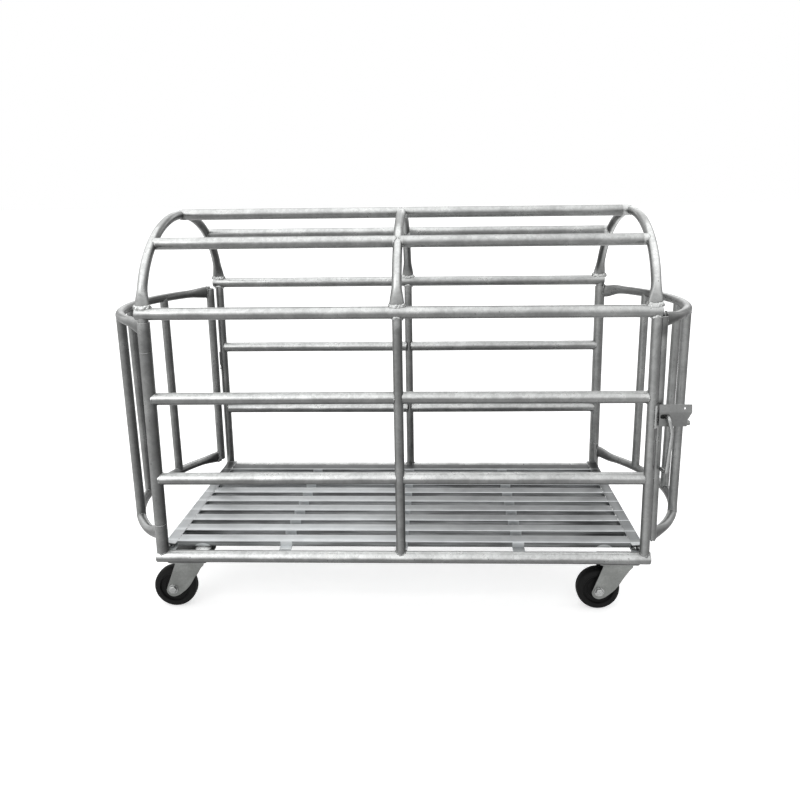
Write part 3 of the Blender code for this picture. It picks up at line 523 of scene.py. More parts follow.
def extruded(name, outline, start, end):
    """A closed outline of 3-D points, pulled from one offset to another."""
    bm = bmesh.new()
    rings = [[bm.verts.new(point + offset) for point in outline] for offset in (start, end)]
    skin_rings(bm, rings, capped=True)
    return from_bmesh(bm, name)


def dress(piece, body, slot, *nodes):
    """Make a piece move with its body and let it stand for its solids, which it hides. The slot is not used.
    """
    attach(piece, body)
    if nodes:
        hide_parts(*nodes)
    return piece


# %% [markdown]
# ## A bead along every joint
#
# A weld is a small lumpy rope of metal that follows the line where two pipes meet, and after
# the bath it is often the brightest spot on the cage. There are more than a hundred, no two
# alike, so this is work for Geometry Nodes: the script finds each line of contact, and one tree
# turns all the lines of a group into beads, with noise in their thickness and their surface.


# %% Geometry Nodes helpers
def new_tree(name, inputs):
    """A node tree with named inputs, each (label, socket type, default), as a graph and its inputs."""
    tree = bpy.data.node_groups.new(name, "GeometryNodeTree")
    sockets = tree.interface
    sockets.new_socket("Geometry", in_out="INPUT", socket_type="NodeSocketGeometry")
    for label, kind, value in inputs:
        socket = sockets.new_socket(label, in_out="INPUT", socket_type="NodeSocket" + kind)
        if value is not None:
            socket.default_value = value
    sockets.new_socket("Geometry", in_out="OUTPUT", socket_type="NodeSocketGeometry")
    graph = Graph(tree)
    return graph, graph.add("NodeGroupInput")


def end_tree(graph, geometry, material, smooth=True):
    """Make instances real, set the material, and end the tree."""
    real = graph.add("GeometryNodeRealizeInstances", {"Geometry": geometry})[0]
    shaded = graph.add("GeometryNodeSetShadeSmooth", {"Geometry": real, "Shade Smooth": smooth})[0]
    done = graph.add("GeometryNodeSetMaterial", {"Geometry": shaded, "Material": material})[0]
    graph.add("NodeGroupOutput", {"Geometry": done})
    return graph.tree


def grow(name, mesh, tree, values):
    """Run a tree on a mesh with named values, and keep the result as a plain object."""
    source = in_scene(name + "_source", mesh)
    modifier = source.modifiers.new("grow", "NODES")
    modifier.node_group = tree
    for item in tree.interface.items_tree:
        if item.item_type == "SOCKET" and item.in_out == "INPUT" and item.name in values:
            modifier[item.identifier] = values[item.name]
    result = plain_mesh(source)
    result.name = name
    print(name, "faces:", len(result.polygons))
    return in_scene(name, result)


# %% Weld bead tree
def weld_tree():
    """Lines become lumpy beads: noise thickens and thins them, and they stay in the cage's box."""
    graph, given = new_tree("weld_bead", [
        ("Step", "Float", 0.0026), ("Lump Scale", "Float", 210.0), ("Lump Height", "Float", 0.0020),
        ("Seed", "Float", 1.0), ("Material", "Material", None),
        ("Lowest", "Vector", tuple(cad_low)), ("Highest", "Vector", tuple(cad_high)),
    ])
    lines = graph.add("GeometryNodeMeshToCurve", {"Mesh": given["Geometry"]})[0]
    lines = graph.add("GeometryNodeResampleCurve", {"Curve": lines, "Length": given["Step"]},
                      mode="LENGTH")[0]
    position = graph.add("GeometryNodeInputPosition")[0]
    lumps = graph.add("ShaderNodeTexNoise", {
        "Vector": position, "W": given["Seed"], "Scale": given["Lump Scale"], "Detail": 2.0,
    }, noise_dimensions="4D")
    size = graph.add("GeometryNodeInputNamedAttribute", {"Name": "bead_size"}, data_type="FLOAT")[0]
    thick = graph.times(graph.ramp(lumps[0], 0.30, 0.70, 0.30, 1.50), size)
    section = graph.add("GeometryNodeCurvePrimitiveCircle", {"Resolution": 7, "Radius": 1.0})[0]
    bead = graph.add("GeometryNodeCurveToMesh", {
        "Curve": lines, "Profile Curve": section, "Scale": thick, "Fill Caps": True})[0]
    shift = graph.vector("SUBTRACT", {0: lumps[1], 1: (0.5, 0.5, 0.5)})[0]
    shift = graph.vector("SCALE", {0: shift, "Scale": given["Lump Height"]})[0]
    bead = graph.add("GeometryNodeSetPosition", {"Geometry": bead, "Offset": shift})[0]
    held = graph.vector("MAXIMUM", {0: position, 1: given["Lowest"]})[0]
    held = graph.vector("MINIMUM", {0: held, 1: given["Highest"]})[0]
    bead = graph.add("GeometryNodeSetPosition", {"Geometry": bead, "Position": held})[0]
    return end_tree(graph, bead, given["Material"])


WELD_BEAD = weld_tree()
weld_lines = {}


def weld_line(group, points, size=0.0034, closed=True):
    """Note a line of contact and its bead's radius, to be beaded with the rest of its group."""
    weld_lines.setdefault(group, []).append(([Vector(point) for point in points], size, closed))


def saddle(origin, along, side, up, half_side, half_up, other_centre, other_axis, other_radius,
           least=0.0, count=26):
    """The line where a pipe that leaves origin along its axis meets another pipe's skin.

    Where the two don't meet, the line follows the pipe's own end, least along its axis.
    """
    points = []
    for number in range(count):
        angle = 2 * math.pi * number / count
        point = origin + side * half_side * math.cos(angle) + up * half_up * math.sin(angle)
        gap = point - other_centre
        gap -= other_axis * gap.dot(other_axis)
        run = along - other_axis * along.dot(other_axis)
        slope = gap.dot(run)
        room = max(slope ** 2 - run.length_squared * (gap.length_squared - other_radius ** 2), 0.0)
        points.append(point + along * max((-slope + math.sqrt(room)) / run.length_squared, least))
    return points


def lay_welds(group, seed, material):
    """Turn a group's lines of contact into one piece of beads."""
    name = group + "_welds"
    bm = bmesh.new()
    size_layer = bm.verts.layers.float.new("bead_size")
    for points, size, closed in weld_lines.pop(group):
        verts = [bm.verts.new(point) for point in points]
        for vert in verts:
            vert[size_layer] = size
        for one, other in zip(verts, verts[1:]):
            bm.edges.new((one, other))
        if closed:
            bm.edges.new((verts[-1], verts[0]))
    mesh = bpy.data.meshes.new(name + "_lines")
    bm.to_mesh(mesh)
    bm.free()
    return grow(name, mesh, WELD_BEAD, {"Seed": seed, "Material": material})


# %% [markdown]
# ## The long rails
#
# Four full-length pipes carry everything: two along the floor and two where the roof starts.
# They run past the corner posts by about a finger's width. The lower pair is left open at both
# ends, and the upper pair, which a hand meets first, is closed and rounded.

# %% Bottom and upper rails
ROUNDING = 0.006
for side, y in (("front", -HALF_WIDTH), ("rear", HALF_WIDTH)):
    for level, z, left_trim, right_trim in (("bottom", BOTTOM_Z, 0.004, 0.005),
                                            ("upper", UPPER_Z, 0.0, 0.007)):
        name = f"{level}_rail_{side}"
        left_end, right_end = Vector((left_trim - RAIL_END, y, z)), Vector((RAIL_END - right_trim, y, z))
        rows = line_stations(left_end, right_end, RAIL_RADIUS, 40)
        if level == "bottom":
            mesh = sweep(name + "_pipe", rows, wall=RAIL_WALL, lip=0.0014)
        else:
            mesh = sweep(name + "_pipe", domed(rows, ROUNDING))
        dress(new_piece(name + "_pipe", mesh, TUBE_ZINC), "frame", "galvanised_tube", name)
print("rail length:", round(2 * RAIL_END, 3))

# %% [markdown]
# ## Posts
#
# Six posts stand on the bottom rails and carry the upper ones. At the two hinge corners the
# middle of the post is a thicker pipe, so the door's sleeves can sit above and below it. The
# other two corners have a hole for the bolt. A boolean cuts it, from a rod a little thicker.

# %% Where the bolt enters a latch post
door_low, door_high = (Vector(corner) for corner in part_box("right_door_end_tube"))
HINGE = Vector((HALF_LENGTH, HALF_WIDTH, 0.0))
END_TUBE = (door_low + door_high) / 2 - HINGE
END_TUBE.z = 0.0
BOLT_RADIUS = 0.007
LATCH_Z = BOTTOM_Z + 0.4005
GUIDE_RADIUS = 0.0097
BOLT_Y = END_TUBE.y - TUBE_RADIUS - JOINT_GAP - GUIDE_RADIUS


def bolt_hole(end):
    """The room that the bolt needs in the post and its keeper, as a short rod."""
    middle = HINGE + Vector((0.0, BOLT_Y, LATCH_Z))
    rows = line_stations(middle, middle + X_AXIS * TUBE_RADIUS * 2, BOLT_RADIUS + 0.001)
    rod = sweep("hole", rows, lip=0.0002)
    rod.transform(Matrix.Rotation(math.pi if end == "left" else 0.0, 4, "Z"))
    return rod


# %% Posts and their welds
HINGE_CORNERS = (("front", "left"), ("rear", "right"))
LATCH_CORNERS = (("front", "right"), ("rear", "left"))
SIGNS = {"left": -1, "middle": 0, "right": 1, "front": -1, "rear": 1}
SLEEVE_PLAY = 0.0006
top_sleeve_top = UPPER_Z - RAIL_RADIUS - 0.005
top_sleeve_base = top_sleeve_top - SLEEVE_LENGTH
low_sleeve_base = BOTTOM_Z + RAIL_RADIUS + SLEEVE_PLAY
low_sleeve_top = low_sleeve_base + SLEEVE_LENGTH

for side in ("front", "rear"):
    for end in ("left", "middle", "right"):
        place = Vector((SIGNS[end] * HALF_LENGTH, SIGNS[side] * HALF_WIDTH, 0.0))
        foot, head = place + Z_AXIS * BOTTOM_Z, place + Z_AXIS * UPPER_Z
        name = f"post_{side}_{end}"
        mesh = sweep(name + "_pipe", line_stations(foot, head, TUBE_RADIUS, 24), wall=TUBE_WALL)
        if (side, end) in LATCH_CORNERS:
            mesh = boolean(mesh, bolt_hole(end), "DIFFERENCE")
        dress(new_piece(name + "_pipe", mesh, TUBE_ZINC), "frame", "galvanised_tube", name)
        head_size, head_sink = 0.0042, 0.0
        if (side, end) in HINGE_CORNERS:
            head_size, head_sink = 0.0019, 0.0022
            low = place + Z_AXIS * (low_sleeve_top + JOINT_GAP)
            high = place + Z_AXIS * (top_sleeve_base - JOINT_GAP)
            mesh = sweep(name + "_stop", line_stations(low, high, RAIL_RADIUS, 16), lip=0.0006)
            dress(new_piece(name + "_stop", mesh, TUBE_ZINC), "frame", "galvanised_tube")
        for group, start, along, size, sink in (("frame_shaded", foot, Z_AXIS, 0.0036, 0.0),
                                                ("frame", head, -Z_AXIS, head_size, head_sink)):
            weld_line(group, saddle(start, along, X_AXIS, Y_AXIS, TUBE_RADIUS - 0.001, TUBE_RADIUS - 0.001,
                                    start, X_AXIS, RAIL_RADIUS - sink), size)

# %% [markdown]
# ## Side rails
#
# Two more rails on each side stop at the middle post and start again behind it. At the thick
# hinge posts they are saddled on dead centre. At the thinner posts they sit a little inside,
# so the post runs past in front of them and the rail ends in a nearly straight line.

# %% Side rails and their welds
HINGE_REACH = 0.0065
SADDLE_REACH = 0.0095
SET_BACK = 0.0065
for level, z in (("lower", LOWER_Z), ("middle", MIDDLE_Z)):
    for side in ("front", "rear"):
        for end in ("left", "right"):
            sign = SIGNS[end]
            y = SIGNS[side] * HALF_WIDTH
            hinge_side = (side, end) in HINGE_CORNERS
            reach = HINGE_REACH if hinge_side else SADDLE_REACH
            corner_y = y if hinge_side else y - SIGNS[side] * SET_BACK
            corner_radius = RAIL_RADIUS if hinge_side else TUBE_RADIUS
            inner = Vector((sign * SADDLE_REACH, y - SIGNS[side] * SET_BACK, z))
            outer = Vector((sign * (HALF_LENGTH - reach), corner_y, z))
            name = f"{level}_rail_{side}_{end}"
            mesh = sweep(name + "_pipe", line_stations(inner, outer, RAIL_RADIUS, 24))
            dress(new_piece(name + "_pipe", mesh, TUBE_ZINC), "frame", "galvanised_tube", name)
            for post_x, rail_y, along, radius, least in (
                    (0.0, inner.y, sign, TUBE_RADIUS, SADDLE_REACH),
                    (sign * HALF_LENGTH, corner_y, -sign, corner_radius, reach)):
                ring = saddle(Vector((post_x, rail_y, z)), X_AXIS * along, Y_AXIS, Z_AXIS,
                              RAIL_RADIUS - 0.002, RAIL_RADIUS - 0.002,
                              Vector((post_x, y, z)), Z_AXIS, radius + 0.0005, least)
                weld_line("frame_plain", ring, 0.0028)

# %% [markdown]
# ## Arches and roof rails
#
# Each arch is one pipe bent to half an ellipse, with both ends crushed flat and set on the
# upper rails. Between the arches run the ridge and two shoulder rails, their ends pinched a
# little where they meet the arch. An ellipse is a rule, so the path is worked out, not drawn.
# The right arch leans out a little, as the welder left it.

# %% Arches
FOOT_SHIFT = -0.0060
APEX_SHIFT = 0.0075


def arch_x(end, rise):
    """An arch's place along the cage, at a rise from 0 at its feet to 1 at its top."""
    shift = FOOT_SHIFT + (APEX_SHIFT - FOOT_SHIFT) * rise if end == "right" else 0.0
    return SIGNS[end] * HALF_LENGTH + shift


def arch_points(end, count=64):
    """Half an ellipse over the cage."""
    points = []
    for number in range(count + 1):
        angle = math.pi * number / count
        rise = math.sin(angle)
        points.append(Vector((arch_x(end, rise), -HALF_WIDTH * math.cos(angle), UPPER_Z + ROOF_RISE * rise)))
    return points


for end in ("left", "middle", "right"):
    rows = crushed(path_stations(arch_points(end), X_AXIS, TUBE_RADIUS), RAIL_RADIUS)
    mesh = sweep(f"roof_arch_{end}_pipe", rows)
    arch = new_piece(f"roof_arch_{end}_pipe", mesh, TUBE_ZINC)
    dress(arch, "frame", "galvanised_tube", f"roof_arch_{end}")
    for y in (-HALF_WIDTH, HALF_WIDTH):
        foot = Vector((arch_x(end, 0.05), y, UPPER_Z))
        ring = saddle(foot, Z_AXIS, X_AXIS, Y_AXIS, FLAT_HALF_WIDTH, FLAT_HALF_THICKNESS + 0.0015,
                      foot, X_AXIS, RAIL_RADIUS)
        for lift, size in ((0.0, 0.0056), (0.0045, 0.0042)):
            weld_line("frame", [point + Z_AXIS * lift for point in ring], size)

# %% Ridge and shoulder rails
PINCH_HEIGHT = 0.0166
ROOF_RADIUS = 0.0168
PINCH_WIDTH = 0.0128


def roof_rail(name, end, y):
    """Half a roof rail on one side of the middle arch, pinched at both ends."""
    sign = SIGNS[end]
    rise = math.sqrt(1 - (y / HALF_WIDTH) ** 2)
    z = UPPER_Z + ROOF_RISE * rise
    far = arch_x(end, rise)
    start = Vector((sign * SADDLE_REACH * 0.6, y, z))
    stop = Vector((far - sign * SADDLE_REACH * 0.6, y, z))
    rows = [(row[0], Z_AXIS, Y_AXIS, ROOF_RADIUS, ROOF_RADIUS) for row in line_stations(start, stop, 1.0, 60)]
    rows = crushed(rows, 0.004, wide=PINCH_HEIGHT, thin=PINCH_WIDTH, taper=0.045)
    dress(new_piece(name + "_pipe", sweep(name + "_pipe", rows), TUBE_ZINC), "frame", "galvanised_tube", name)
    slope = Vector((0.0, -z + UPPER_Z, y * (ROOF_RISE / HALF_WIDTH) ** 2)).normalized() if y else Y_AXIS
    for at_x, along in ((0.0, sign), (far, -sign)):
        origin = Vector((at_x, y, z))
        weld_line("frame_plain", saddle(origin, X_AXIS * along, Y_AXIS, Z_AXIS, PINCH_WIDTH - 0.001,
                                        PINCH_HEIGHT - 0.003, origin, slope, TUBE_RADIUS), 0.0024)


for end in ("left", "right"):
    roof_rail(f"ridge_rail_{end}", end, 0.0)
    for side in ("front", "rear"):
        roof_rail(f"shoulder_rail_{side}_{end}", end, SIGNS[side] * SHOULDER_OFFSET)

# %% [markdown]
# ## The floor grate
#
# The pig stands on nine strips of sheet, each folded down along both edges. They are all one
# strip, repeated at one pitch, so the script draws a single section and a tree does the rest:
# it pulls the section out to full length, closes its ends, and sets a copy at every pitch.

# %% Slat tree
GRATE_LOW, GRATE_HIGH = (Vector(corner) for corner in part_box("floor_grate"))
SLAT_COUNT = 9
SLAT_WIDTH = 0.040
SLAT_SHEET = 0.0020
SLAT_FOLD = 0.0014
END_BAR_WIDTH = 0.033
STRAP_WIDTH = 0.034
STRAP_THICKNESS = 0.0045
DECK_TOP = GRATE_HIGH.z
DECK_BASE = GRATE_LOW.z + STRAP_THICKNESS
BAR_INNER = GRATE_HIGH.x - END_BAR_WIDTH


def slat_tree():
    """One section becomes a row of closed slats."""
    graph, given = new_tree("slat_rack", [
        ("Length", "Float", 1.3), ("Pitch", "Float", SLAT_PITCH), ("Count", "Int", SLAT_COUNT),
        ("Material", "Material", None),
    ])
    run = graph.add("ShaderNodeCombineXYZ", {"X": given["Length"]})[0]
    pulled = graph.add("GeometryNodeExtrudeMesh", {
        "Mesh": given["Geometry"], "Offset": run, "Offset Scale": 1.0, "Individual": False})[0]
    joined = graph.tree.nodes.new("GeometryNodeJoinGeometry")
    lid = graph.add("GeometryNodeFlipFaces", {"Mesh": given["Geometry"]})[0]
    for half in (pulled, lid):
        graph.tree.links.new(half, joined.inputs[0])
    slat = graph.add("GeometryNodeMergeByDistance", {"Geometry": joined.outputs[0], "Distance": 0.00001})[0]
    step = graph.add("ShaderNodeCombineXYZ", {"Y": given["Pitch"]})[0]
    places = graph.add("GeometryNodeMeshLine", {"Count": given["Count"], "Offset": step})[0]
    rack = graph.add("GeometryNodeInstanceOnPoints", {"Points": places, "Instance": slat})[0]
    return end_tree(graph, rack, given["Material"], smooth=False)


def slat_section(start_x):
    """The folded strip's section, with rounded folds, as one face that looks along +X."""
    front, back = SLAT_FRONT, SLAT_FRONT + SLAT_WIDTH
    top = DECK_TOP - 0.0003
    outline = [(front, DECK_BASE), *arc(front + SLAT_FOLD, top - SLAT_FOLD, SLAT_FOLD, 180, 90, 4),
               *arc(back - SLAT_FOLD, top - SLAT_FOLD, SLAT_FOLD, 90, 0, 4),
               (back, DECK_BASE), (back - SLAT_SHEET, DECK_BASE), (back - SLAT_SHEET, top - SLAT_SHEET),
               (front + SLAT_SHEET, top - SLAT_SHEET), (front + SLAT_SHEET, DECK_BASE)]
    mesh = bpy.data.meshes.new("slat_section")
    mesh.from_pydata([(start_x, y, z) for y, z in outline], [], [list(range(len(outline)))])
    mesh.update()
    if mesh.polygons[0].normal.x < 0:
        mesh.flip_normals()
    return mesh


slats = grow("floor_slats", slat_section(-BAR_INNER), slat_tree(),
             {"Length": 2 * BAR_INNER, "Material": DECK_ZINC})
slats.data.shade_smooth()
slats.data.set_sharp_from_angle(angle=math.radians(30))
dress(slats, "frame", "galvanised_deck", "floor_grate")


# %% End bars, straps and their welds
def block_mesh(low, high, edge=0.0008):
    """A flat bar with its edges eased."""
    bm = bmesh.new()
    bmesh.ops.create_cube(bm, size=1.0)
    for vert in bm.verts:
        vert.co = Vector([low[axis] + (vert.co[axis] + 0.5) * (high[axis] - low[axis]) for axis in range(3)])
    bmesh.ops.bevel(bm, geom=bm.edges[:], offset=edge, segments=2, affect="EDGES", profile=0.5)
    return from_bmesh(bm, "block")


def deck_bar(name, near_x, far_x, low_yz, high_yz):
    """One flat bar of the grate, between two places along X."""
    low_x, high_x = sorted((near_x, far_x))
    mesh = block_mesh((low_x, *low_yz), (high_x, *high_yz))
    dress(new_piece(name, mesh, DECK_ZINC), "frame", "galvanised_deck")


BAR_EDGE = HALF_WIDTH - RAIL_RADIUS - 0.0015
LIP_WIDTH = 0.003
for end in ("left", "right"):
    inner_x, outer_x = SIGNS[end] * BAR_INNER, SIGNS[end] * GRATE_HIGH.x
    deck_bar(f"grate_end_bar_{end}", inner_x, outer_x, (-BAR_EDGE, DECK_TOP - 0.003), (BAR_EDGE, DECK_TOP))
    lip_x = SIGNS[end] * (GRATE_HIGH.x - LIP_WIDTH)
    deck_bar(f"grate_end_lip_{end}", lip_x, outer_x, (-BAR_EDGE, DECK_BASE), (BAR_EDGE, DECK_TOP - 0.001))
OUTER_STRAP = GRATE_HIGH.x - STRAP_WIDTH / 2
INNER_STRAP = 0.49 * HALF_LENGTH
strap_places = {"outer_left": -OUTER_STRAP, "left": -INNER_STRAP, "middle": 0.0,
                "right": INNER_STRAP, "outer_right": OUTER_STRAP}
for name, x in strap_places.items():
    deck_bar(f"grate_strap_{name}", x - STRAP_WIDTH / 2, x + STRAP_WIDTH / 2,
             (GRATE_LOW.y, GRATE_LOW.z), (GRATE_HIGH.y, DECK_BASE + 0.0002))

SLAT_BEAD_Z = DECK_TOP - 0.0022
for number in range(SLAT_COUNT):
    front = SLAT_FRONT + number * SLAT_PITCH
    for sign in (-1, 1):
        x = sign * (BAR_INNER - 0.0005)
        for start, stop in ((0.002, 0.014), (0.028, 0.038)):
            bead = [(x, front + start, SLAT_BEAD_Z), (x, front + stop, SLAT_BEAD_Z)]
            weld_line("frame", bead, 0.0026, False)
for side in ("front", "rear"):
    y = SIGNS[side] * (HALF_WIDTH - RAIL_RADIUS - 0.0002)
    for sign in (-1, 1):
        for step in (0.004, 0.016, 0.028):
            x = sign * (BAR_INNER + step)
            bead = [(x, y, DECK_TOP - 0.008), (x + sign * 0.006, y, DECK_TOP - 0.009)]
            weld_line("frame", bead, 0.0036, False)

# %% [markdown]
# ## The doors
#
# A door is two bent hoops, three bars, and a tube at its free side. The hoops' ends are crushed
# flat and tall: one is welded to a sleeve that turns on the hinge post, and the other to the
# end tube. Both doors are the same, so one drawing is made from the hinge axis and set down
# twice, the second time turned half way round.

# %% Door paths
BULGE_TOP = 0.1614
BULGE_BOTTOM = 0.152
TOP_HOOP_Z = UPPER_Z - 0.0290
BOTTOM_HOOP_Z = BOTTOM_Z + 0.0565
HOOP_TAPER = 0.078
TOP_ROOT_DIP = -0.0105
BOTTOM_ROOT_LIFT = 0.0110
HOOP_ROOT = 0.0155
HOOPS = {
    "top": (TOP_HOOP_Z, BULGE_TOP, TOP_ROOT_DIP, top_sleeve_base),
    "bottom": (BOTTOM_HOOP_Z, BULGE_BOTTOM, BOTTOM_ROOT_LIFT, low_sleeve_base),
}
DOORS = {"right": Matrix.Translation(HINGE)}
DOORS["left"] = Matrix.Rotation(math.pi, 4, "Z") @ DOORS["right"]


def hoop_arc(bulge):
    """A function from 0 to 1 along the arc from the hinge axis to the end tube, and its length."""
    chord = END_TUBE.length
    radius = (chord ** 2 / 4 + bulge ** 2) / (2 * bulge)
    half_angle = math.asin(chord / 2 / radius)
    along = END_TUBE.normalized()
    outward = Vector((-along.y, along.x, 0.0))
    centre = END_TUBE / 2 - outward * (radius - bulge)

    def at(fraction):
        angle = half_angle * (2 * fraction - 1)
        return centre + outward * radius * math.cos(angle) + along * radius * math.sin(angle)

    return at, 2 * half_angle * radius


def hoop_rows(z, bulge, root_shift, count=56):
    """Rings of a hoop, from just inside the sleeve's wall to the end tube's axis."""
    at, length = hoop_arc(bulge)
    first = HOOP_ROOT / length
    points = []
    for number in range(count + 1):
        point = at(first + (1 - first) * number / count)
        point.z = z + root_shift * (1 - eased((point.length - HOOP_ROOT) / FLAT_TAPER))
        points.append(point)
    return crushed(path_stations(points, Z_AXIS, TUBE_RADIUS), 0.008, taper=HOOP_TAPER)


# %% Door pieces and their welds
def lathed(name, profile, axis, sides=48):
    """Turn a closed profile of (radius, place along the axis) round the Y or the Z axis."""
    upward = axis.cross(X_AXIS)
    bm = bmesh.new()
    rings = []
    for number in range(sides):
        angle = 2 * math.pi * number / sides
        spoke = X_AXIS * math.cos(angle) + upward * math.sin(angle)
        rings.append([bm.verts.new(spoke * radius + axis * along) for radius, along in profile])
    skin_rings(bm, rings, around=True)
    return from_bmesh(bm, name)


def sleeve_mesh(base, top, sides=40, lip=0.0005):
    """A short hinge sleeve with rounded lips, open right through."""
    profile = [(SLEEVE_BORE, base + lip), (SLEEVE_BORE + lip, base), (RAIL_RADIUS - lip, base),
               (RAIL_RADIUS, base + lip), (RAIL_RADIUS, top - lip), (RAIL_RADIUS - lip, top),
               (SLEEVE_BORE + lip, top), (SLEEVE_BORE, top - lip)]
    return lathed("sleeve", profile, Z_AXIS, sides)


def hang(side, name, mesh, material, *nodes):
    """Set a mesh down where its door hangs, as one of the door's pieces."""
    mesh.transform(DOORS[side])
    dress(new_piece(name, mesh, material), f"{side}_door", "galvanised_tube", *nodes)


def door_weld(side, points, size=0.0030, closed=True):
    """A line of contact drawn from the hinge axis, set down with its door."""
    weld_line(f"{side}_door", [DOORS[side] @ point for point in points], size, closed)


for side in DOORS:
    for level, (z, bulge, root_shift, sleeve_base) in HOOPS.items():
        hang(side, f"{side}_{level}_sleeve", sleeve_mesh(sleeve_base, sleeve_base + SLEEVE_LENGTH), TUBE_ZINC)
        rows = hoop_rows(z, bulge, root_shift)
        hang(side, f"{side}_{level}_hoop_pipe", sweep("hoop", rows), HOOP_ZINC, f"{side}_door_{level}_hoop")
        for origin, inward, radius in (
                (Z_AXIS * rows[0][0].z, rows[3][0] - rows[0][0], RAIL_RADIUS),
                (END_TUBE + Z_AXIS * z, rows[-4][0] - rows[-1][0], TUBE_RADIUS)):
            along = inward.normalized()
            door_weld(side, saddle(origin, along, Z_AXIS, along.cross(Z_AXIS), FLAT_HALF_WIDTH,
                                   FLAT_HALF_THICKNESS + 0.0008, origin, Z_AXIS, radius))
    for number in (1, 2, 3):
        fraction = number / 4
        ends = []
        for level in ("bottom", "top"):
            z, bulge, _, _ = HOOPS[level]
            at, _ = hoop_arc(bulge)
            tangent = (at(fraction + 0.01) - at(fraction - 0.01)).normalized()
            ends.append((at(fraction) + Z_AXIS * z, tangent))
        foot, head = ends[0][0], ends[1][0]
        mesh = sweep("bar", line_stations(foot, head, TUBE_RADIUS - 0.0001, 24))
        hang(side, f"{side}_door_bar_{number}_pipe", mesh, TUBE_ZINC, f"{side}_door_bar_{number}")
        for (origin, tangent), along in zip(ends, (head - foot, foot - head)):
            along = along.normalized()
            sideways = tangent.cross(along).normalized()
            door_weld(side, saddle(origin, along, tangent, sideways, TUBE_RADIUS - 0.001, TUBE_RADIUS - 0.001,
                                   origin, tangent, TUBE_RADIUS - 0.0005), 0.0020)
    rows = line_stations(END_TUBE + Z_AXIS * door_low.z, END_TUBE + Z_AXIS * door_high.z, TUBE_RADIUS, 24)
    tube = sweep("end_tube", rows, wall=TUBE_WALL)
    hang(side, f"{side}_door_end_tube_pipe", tube, TUBE_ZINC, f"{side}_door_end_tube")

# %% [markdown]
# ## The latch
#
# Only the right door has a latch. A folded plate stands off its end tube and hides a round
# bolt in its guide tube. The bolt's handle is a bent rod that comes out through a slot, hangs
# down in front of the plate and hooks back, and a small shield behind the slot keeps fingers
# out. The stout hand-made look matters more than precision here: soft bends and eased edges.

# %% Latch sizes
PLATE_THICKNESS = 0.003
PLATE_BACK = BOLT_Y - GUIDE_RADIUS + 0.0012
PLATE_FRONT = PLATE_BACK - PLATE_THICKNESS
KEEPER_RADIUS = TUBE_RADIUS + JOINT_GAP + 0.003
PLATE_LEFT = KEEPER_RADIUS + 0.0017
PLATE_FOOT_WIDTH = 0.094
PLATE_WIDTH = 0.107
PLATE_STEP_RISE = 0.009
PLATE_BEND_RISE = 0.033
PLATE_TOP_RISE = 0.054
PLATE_LEAN = 0.004
HANDLE_RADIUS = 0.0055
HANDLE_X = 0.041
HANDLE_RISE = 0.021
HANDLE_DROP = 0.136
HANDLE_BOW = 0.010
HANDLE_HOOK = 0.0325
BOLT_BACK = 0.105
GUIDE_START = 0.051
GUIDE_LENGTH = 0.039
HANDLE_FRONT = BOLT_Y - 0.0244
BOLT_TRAVEL = 0.013


# %% Latch pieces
def flat_plate(name, outline, holes, thickness, edge=0.0005):
    """A plate drawn in X and Z, cut from an outline with holes, its edges eased."""
    curve = bpy.data.curves.new(name, "CURVE")
    curve.dimensions = "2D"
    curve.fill_mode = "BOTH"
    curve.extrude = thickness / 2 - edge
    curve.bevel_depth = edge
    curve.bevel_resolution = 1
    curve.offset = -edge
    for loop in [outline, *holes]:
        spline = curve.splines.new("POLY")
        spline.points.add(len(loop) - 1)
        for point, (x, z) in zip(spline.points, loop):
            point.co = (x, z, 0.0, 1.0)
        spline.use_cyclic_u = True
    mesh = plain_mesh(in_scene(name, curve))
    mesh.transform(Matrix.Rotation(math.radians(90), 4, "X"))
    bm = bmesh.new()
    bm.from_mesh(mesh)
    return from_bmesh(bm, name)


def merged(name, meshes):
    """Several meshes as one."""
    bm = bmesh.new()
    for mesh in meshes:
        bm.from_mesh(mesh)
    mesh = bpy.data.meshes.new(name)
    bm.to_mesh(mesh)
    bm.free()
    return mesh


def rounded_path(points, bend, steps=6):
    """A path through points with each inner corner turned to a smooth bend."""
    path = [points[0]]
    for before, corner, after in zip(points, points[1:], points[2:]):
        reach = min(bend, (before - corner).length / 2, (after - corner).length / 2)
        start = corner + (before - corner).normalized() * reach
        end = corner + (after - corner).normalized() * reach
        for number in range(steps + 1):
            part = number / steps
            path.append(start.lerp(corner, part).lerp(corner.lerp(end, part), part))
    path.append(points[-1])
    return path


def bent_rod(name, points, radius, sides=20):
    """A round rod along a path in space, its rings carried along without twist."""
    side = (points[1] - points[0]).normalized().orthogonal().normalized()
    rows = []
    for point, along in zip(points, headings(points)):
        side = (side - along * side.dot(along)).normalized()
        rows.append((point, side, along.cross(side), radius, radius))
    return sweep(name, rows, sides, lip=0.0012)


